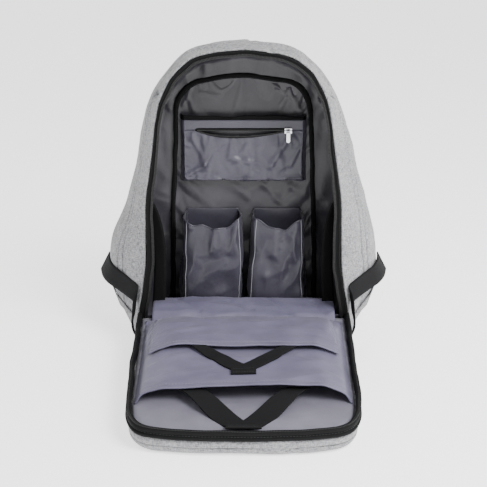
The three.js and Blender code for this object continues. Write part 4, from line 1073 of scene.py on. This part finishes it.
# Points of (depth, height above the lining at the sill), after a first one on the panel
sill_points = [(-6.4, -0.6), (1, 3.4), (14, 7), (30, 8.6), (44, 7.6), (49, -2)]
sill_course = [(-14, pad_top(-14) + 2.8)] + [(y, over_sill + up) for y, up in sill_points]
sill_path = evenly(sill_course, 60)
SILL_HALF = 124
sill_x = np.linspace(-SILL_HALF, SILL_HALF, COLUMNS)
sill = np.stack([sill_x + np.zeros((len(sill_path), 1)), sill_path[:, :1] + 0 * sill_x,
                 sill_path[:, 1:] + 1.4 + 0 * sill_x], axis=-1)
sill = folded(sill, UPWARD, 20, 3.0, (2.6, 0.8, 1), 1.7, smoothstep(sill[:, :, 1], -14, -6))
sill = settled(sill, border(sill, "tb"), growth=0.05, limit=3.0)
sill_creases = [
    ((34, 38, 0), (66, -4, 0), 2.6, 4), ((-20, 30, 0), (10, 8, 0), 2.6, 4),
    ((-92, 36, 0), (-60, 2, 0), 2.6, 4), ((96, 30, 0), (112, 0, 0), 2.6, 4),
]
sill = creased(sill, -UPWARD, sill_creases, SEE_ABOVE)
cloth("sill_satin", sill, 1.2, pale_satin, "pale_lining", ["sill_cloth"])

# %% [markdown]
# ## Sleeves
# The laptop sleeve is a broad sheet sewn to the panel at its foot and its sides, and puffed out between
# them. The tablet sleeve is sewn on top of it in the same way. Both mouths are bowed and hemmed.

# %% Sleeves
HEM = 9


def sleeve_rise(u, v, rise):
    side = np.sqrt(np.maximum(1 - np.abs(2 * u - 1) ** 16, 0))
    return rise * side * smoothstep(v, 0, 0.35) ** 0.7


def sleeve_face(x, y):
    """The height of the laptop sleeve's outer face."""
    v = np.clip((-y - SLEEVE_START) / (SLEEVE_MOUTH - SLEEVE_START), 0, 1)
    u = np.clip(0.5 - x / (2 * SLEEVE_HALF * lerp(1, SLEEVE_TAPER, v)), 0, 1)
    return pad_top(y) + LINING_ABOVE_PAD + 0.4 + sleeve_rise(u, v, SLEEVE_RISE) + SLEEVE_CLOTH


def sleeve_grid(half, taper, start, mouth, rise, base):
    """A sleeve's outer face, from its mouth back to its foot; base(x, y) is the height that it rises from."""
    u = crowded(COLUMNS) + np.zeros((ROWS, 1))
    v = np.linspace(1, 0, ROWS)[:, None] + 0 * u
    x = lerp(-half, half, u) * lerp(1, taper, v)
    y = -lerp(start, mouth - SLEEVE_BOW * v * (1 - (2 * u - 1) ** 2), v)
    return np.stack([x, y, base(x, y) + sleeve_rise(u, v, rise)], axis=-1), u, v


def sleeve_stitches(name, lines):
    blocks_along(name, [line + (0, 0, 0.2) for line in lines], UPWARD, (2.4, 0.6, 0.5), 3.8, grey_thread,
                 "pale_lining")


def make_sleeve(name, node, grid, u, v, seed, marks, size):
    free = (1 - np.abs(2 * u - 1) ** 8) * smoothstep(v, 0.02, 0.2)
    grid = folded(grid, UPWARD, size, 3.4, (1.9, 1, 1), seed, free)
    grid = settled(grid, border(grid, "tlr"), growth=0.045, limit=3.5, weight=-0.4)
    grid = creased(grid, UPWARD * free[..., None], marks, SEE_ABOVE)
    mouth = grid[0]
    hem = mouth + (0, HEM, 0)
    grid = pressed(grid, UPWARD, hem[::4], -0.7, 1.6, SEE_ABOVE)
    cloth(name, grid, 1.4, pale_satin, "pale_lining", [node])
    tube_along(name + "_hem", mouth + (0, 0.2, -0.7), 1.2, pale_satin, "pale_lining")
    row = np.abs(grid[:, COLUMNS // 2, 1] - hem[COLUMNS // 2, 1]).argmin()
    sleeve_stitches(name + "_stitches", [grid[row]])
    return grid


laptop_marks = [
    ((-118, -60, 0), (-60, -92, 0), 1.6, 7), ((112, -64, 0), (70, -100, 0), 1.6, 7),
    ((-110, -190, 0), (-70, -170, 0), 1.8, 6), ((108, -200, 0), (64, -176, 0), 1.8, 6),
    ((-30, -182, 0), (44, -172, 0), 1.2, 7), ((-112, -228, 0), (-40, -206, 0), 1.4, 6),
]
tablet_marks = [
    ((-100, -40, 0), (-62, -70, 0), 1.4, 6), ((98, -44, 0), (58, -72, 0), 1.4, 6),
    ((-96, -118, 0), (-50, -104, 0), 1.4, 5),
    ((94, -122, 0), (50, -100, 0), 1.4, 5), ((-20, -90, 0), (36, -84, 0), 1.0, 6),
]
laptop, u, v = sleeve_grid(SLEEVE_HALF, SLEEVE_TAPER, SLEEVE_START, SLEEVE_MOUTH, SLEEVE_RISE,
                           lambda x, y: pad_top(y) + LINING_ABOVE_PAD + 0.4 + SLEEVE_CLOTH)
laptop = make_sleeve("laptop_sleeve_cloth", "laptop_sleeve", laptop, u, v, 2.7, laptop_marks,
                     34)
tablet, u, v = sleeve_grid(TABLET_HALF, 1, TABLET_START, TABLET_MOUTH, TABLET_RISE,
                           lambda x, y: sleeve_face(x, y) + 2.4)
tablet = make_sleeve("tablet_sleeve_cloth", "tablet_sleeve", tablet, u, v, 9.4, tablet_marks,
                     28)
edge = max(3, COLUMNS // 16)
sleeve_stitches("tablet_side_stitches", [tablet[:, edge], tablet[:, -1 - edge]])
print("sleeves made")

# %% [markdown]
# ## Straps
# Each sleeve is held shut by a strap in the form of a V, whose arms come from under the sleeve's mouth. The
# webbing runs from each side seam round the corner of the bag, and the carrying straps lie under the panel.

# %% Straps of the sleeves
def strap_level(x, y):
    """Under the laptop sleeve's mouth, then on the panel's lining and up its zip's rim."""
    t = smoothstep(-y, SLEEVE_MOUTH - SLEEVE_BOW, SLEEVE_MOUTH + 44)
    climb = smoothstep(-y, LAPTOP_STRAP_END - 24, LAPTOP_STRAP_END) * (PANEL_RIM - 3)
    on_sleeve, on_lining = sleeve_face(x, y) - SLEEVE_CLOTH - 2.6, pad_top(y) + LINING_ABOVE_PAD + 0.8 + climb
    return lerp(on_sleeve, on_lining, t) + 1.6


def height_on(grid, x, y):
    """The height of a settled sheet at some places, from its four nearest points."""
    x, y = np.broadcast_arrays(x, y)
    points, heights = grid[:, :, :2].reshape(-1, 2), grid[:, :, 2].ravel()
    found = []
    for place in np.stack([x, y], axis=-1).reshape(-1, 2):
        apart = ((points - place) ** 2).sum(axis=1)
        near = np.argpartition(apart, 4)[:4]
        found.append(np.average(heights[near], weights=1 / (apart[near] + 0.01)))
    return np.array(found).reshape(x.shape)


def small_strap_level(x, y):
    """On the settled laptop sleeve, and up under the tablet sleeve's mouth."""
    t = smoothstep(-y, TABLET_MOUTH - SLEEVE_BOW, TABLET_MOUTH + 26)
    low = height_on(laptop, x, y) + 2.2
    return lerp(low + TABLET_RISE * 0.8, low, t)


def make_v_strap(name, node, mouth, end, width, tip, level):
    start, reach = mouth - SLEEVE_BOW - STRAP_TUCKED, STRAP_REACH
    rows, columns = ((90, 22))
    share = np.linspace(1, 0, rows)[:, None]
    reach_y = -lerp(start, end, share)
    outer = np.interp(share, [0, 0.82, 1], [reach + width / 2, tip, tip])
    inner = np.interp(share, [0, 0.62, 1], [reach - width / 2, 0, 0])
    halves = []
    for side in (-1, 1):
        u = np.linspace(0, 1, columns)
        x = lerp(-outer, -inner, u) if side < 0 else lerp(inner, outer, u)
        y = reach_y + 0 * x
        z = level(x, y) + 0.3 * noise_at(np.stack([x, y, 0 * x], axis=-1), 22, seed=side)
        halves.append(np.stack([x, y, z], axis=-1))
    parts = [grid_mesh(f"{name}_{i}", half) for i, half in enumerate(halves)]
    strap = welded(parts, name, 0.1)
    thickened(strap, 1.6)
    dress(strap, webbing_cloth, "black_webbing", node)
    tip_x = np.linspace(-tip + 2, tip - 2, 12)
    lines = []
    for from_end in (3, 13):
        y = from_end - end + 0 * tip_x
        lines.append(np.stack([tip_x, y, level(tip_x, y) + 0.4], axis=1))
    blocks_along(name + "_stitches", lines, UPWARD, (2.2, 0.6, 0.5), 3.2, black_thread, "black_webbing")


make_v_strap("laptop_v_strap", "laptop_strap", SLEEVE_MOUTH, LAPTOP_STRAP_END, 26, 20, strap_level)
make_v_strap("tablet_v_strap", "tablet_strap", TABLET_MOUTH, TABLET_STRAP_END, 15, 15, small_strap_level)

# %% [markdown]
# The webbing, the wing of cloth that fills its bend, and the black stays inside the mouth are drawn for the
# right side, and mirrored.

# %% Webbing, wings and stays
section_columns = np.array(body_sections).T


def body_half_at(y, z):
    """How far out the body's face is at depth y and height z."""
    depths, *columns = section_columns
    belly, wide, high, sill = (np.interp(y / BODY_DEPTH, depths, column) for column in columns)
    outline = [(up, lerp(opening, full, belly)) for up, opening, full in body_outline]
    half = lerp(OPENING_HALF + RIM_MARGIN, BELLY_HALF, belly) * wide
    top = lerp(OPENING_TOP + RIM_MARGIN, BODY_TOP, belly) * high
    over = arch(outline, half, (OPENING_SILL - RIM_MARGIN) * sill, top, 160)[:80]
    return float(np.interp(z, over[:, 1], over[:, 0]))


# Rows of (depth, upper edge's height, lower edge's height, how far the lower edge stands off)
webbing_on_body = [
    (84, 109, 84, 12), (62, 106, 80, 10.5), (43, 102, 76, 8), (27, 97, 71, 5.5), (13, 91, 65, 3),
    (4, 85, 59, 1),
]
# Rows of (past the panel's half width, reach from the hinge, height)
upper_beside_panel = [(5, 7, 74), (7, 12, 54), (7, 20, 32), (-5, 28, 15), (-21, 38, 6)]
lower_beside_panel = [(5, 3.4, 49), (8, 4, 33), (2, 8, 17), (-17, 18, 7), (-39, 32, 3.2)]


def webbing_grid():
    edges = []
    sides = ((0, upper_beside_panel, WEBBING_HALF), (1, lower_beside_panel, -WEBBING_HALF))
    for lower, beside, across in sides:
        rows = [(body_half_at(y, z[lower]) + 2.8 + lower * off, y, z[lower])
                for y, *z, off in webbing_on_body]
        rows += [(PANEL_HALF + past, -reach, up) for past, reach, up in beside]
        rows.append((BUCKLE_X + across, BUCKLE_END, 2.4))
        edges.append(smooth_between(rows, np.linspace(0, len(rows) - 1, 130)))
    return np.stack([lerp(edges[0], edges[1], share) for share in np.linspace(0, 1, 9)], axis=1)


def wing_grid():
    rows = []
    for v in np.linspace(0, 1, 36):
        y, top = lerp(WING_FAR, WING_NEAR, v), lerp(WING_TOP_FAR, WING_TOP_NEAR, v)
        foot = top - WING_DEPTH * math.sin(math.pi * lerp(0.06, 0.94, v))
        rows.append([(body_half_at(y, z) + 2.2, y, z) for z in lerp(top, foot, np.linspace(0, 1, 8))])
    return np.array(rows)


def stay_grid():
    """A stay from the lining down to the panel's corner; each row holds a point and how far it is turned."""
    wall = body_half_at(STAY_SEWN_AT, STAY_TOP) - CAVITY_INSET - 0.9 * STAY_HALF - 0.4
    rows = [((wall, STAY_SEWN_AT, STAY_TOP), 0.5), ((118, 22, 166.9), 0.3), ((114, 24, 106.3), 0.1),
            ((118, 30, 46), 0.0)]
    edges = []
    for half in (-STAY_HALF, STAY_HALF):
        edge = [np.array(at) + half * np.array((1, turn, 0)) / math.hypot(1, turn) for at, turn in rows]
        edges.append(evenly(edge, 60))
    return np.stack([lerp(edges[0], edges[1], share) for share in np.linspace(0, 1, 6)], axis=1)


for name, side in (("left", -1), ("right", 1)):
    mirror = np.array([side, 1, 1])
    for piece, grid, thickness, finish, slot_name, node, held, on in (
            ("webbing", webbing_grid(), 1.6, webbing_cloth, "black_webbing", "strap_webbing", "stretched",
             "shell_cloth"),
            ("wing_cloth", wing_grid(), 1.2, shaded_strap_melange, "melange_polyester", "strap_wing", "stretched",
             "shell_cloth"),
            ("stay_ribbon", stay_grid(), 1.4, ribbon_cloth, "black_webbing", "stay", "hung", "cavity_cloth")):
        cloth(f"{piece}_{name}", grid * mirror, thickness, finish, slot_name, [f"{node}_{name}"],
              offset=0.0)
print("webbing, wings and stays made")

# %% [markdown]
# The carrying straps are padded and lie flat on the ground under the panel, from their roots to the ladder
# buckles that hold the webbing.

# %% Carrying straps
# Points of (across, reach from the hinge) from the root to the buckle
carry_course = [(62, 236), (72, 200), (90, 150), (96, 110), (96, 74)]


def carry_strap(side):
    middle = smooth_between(carry_course, np.linspace(0, len(carry_course) - 1, 60))
    tangent = np.gradient(middle, axis=0)
    tangent /= np.linalg.norm(tangent, axis=1, keepdims=True)
    rings = []
    for (x, reach_y), (tx, ty), v in zip(middle, tangent, np.linspace(0, 1, 60)):
        narrowed = max(0, (v - CARRY_TAPERS_FROM) / (1 - CARRY_TAPERS_FROM))
        half = CARRY_HALF * lerp(1, CARRY_TAPER, narrowed)
        thick = min(CARRY_THICK, float(pad_foot(np.array(-reach_y))) - 1.4)
        turn = np.linspace(0, 2 * math.pi, 40, endpoint=False)
        out, up = (np.sign(f) * np.abs(f) ** 0.55 for f in (np.cos(turn), np.sin(turn)))
        at_x, at_y = side * (x - ty * half * out), -(reach_y + tx * half * out)
        rings.append(np.stack([at_x, at_y, thick * (0.5 + 0.5 * up)], axis=1))
    return np.array(rings)


for name, side in (("left", -1), ("right", 1)):
    strap = facing_out(grid_mesh(f"carry_strap_cloth_{name}", carry_strap(side), around=True))
    dress(strap, shaded_strap_melange, "melange_polyester", f"carry_strap_{name}")
print("carrying straps made")
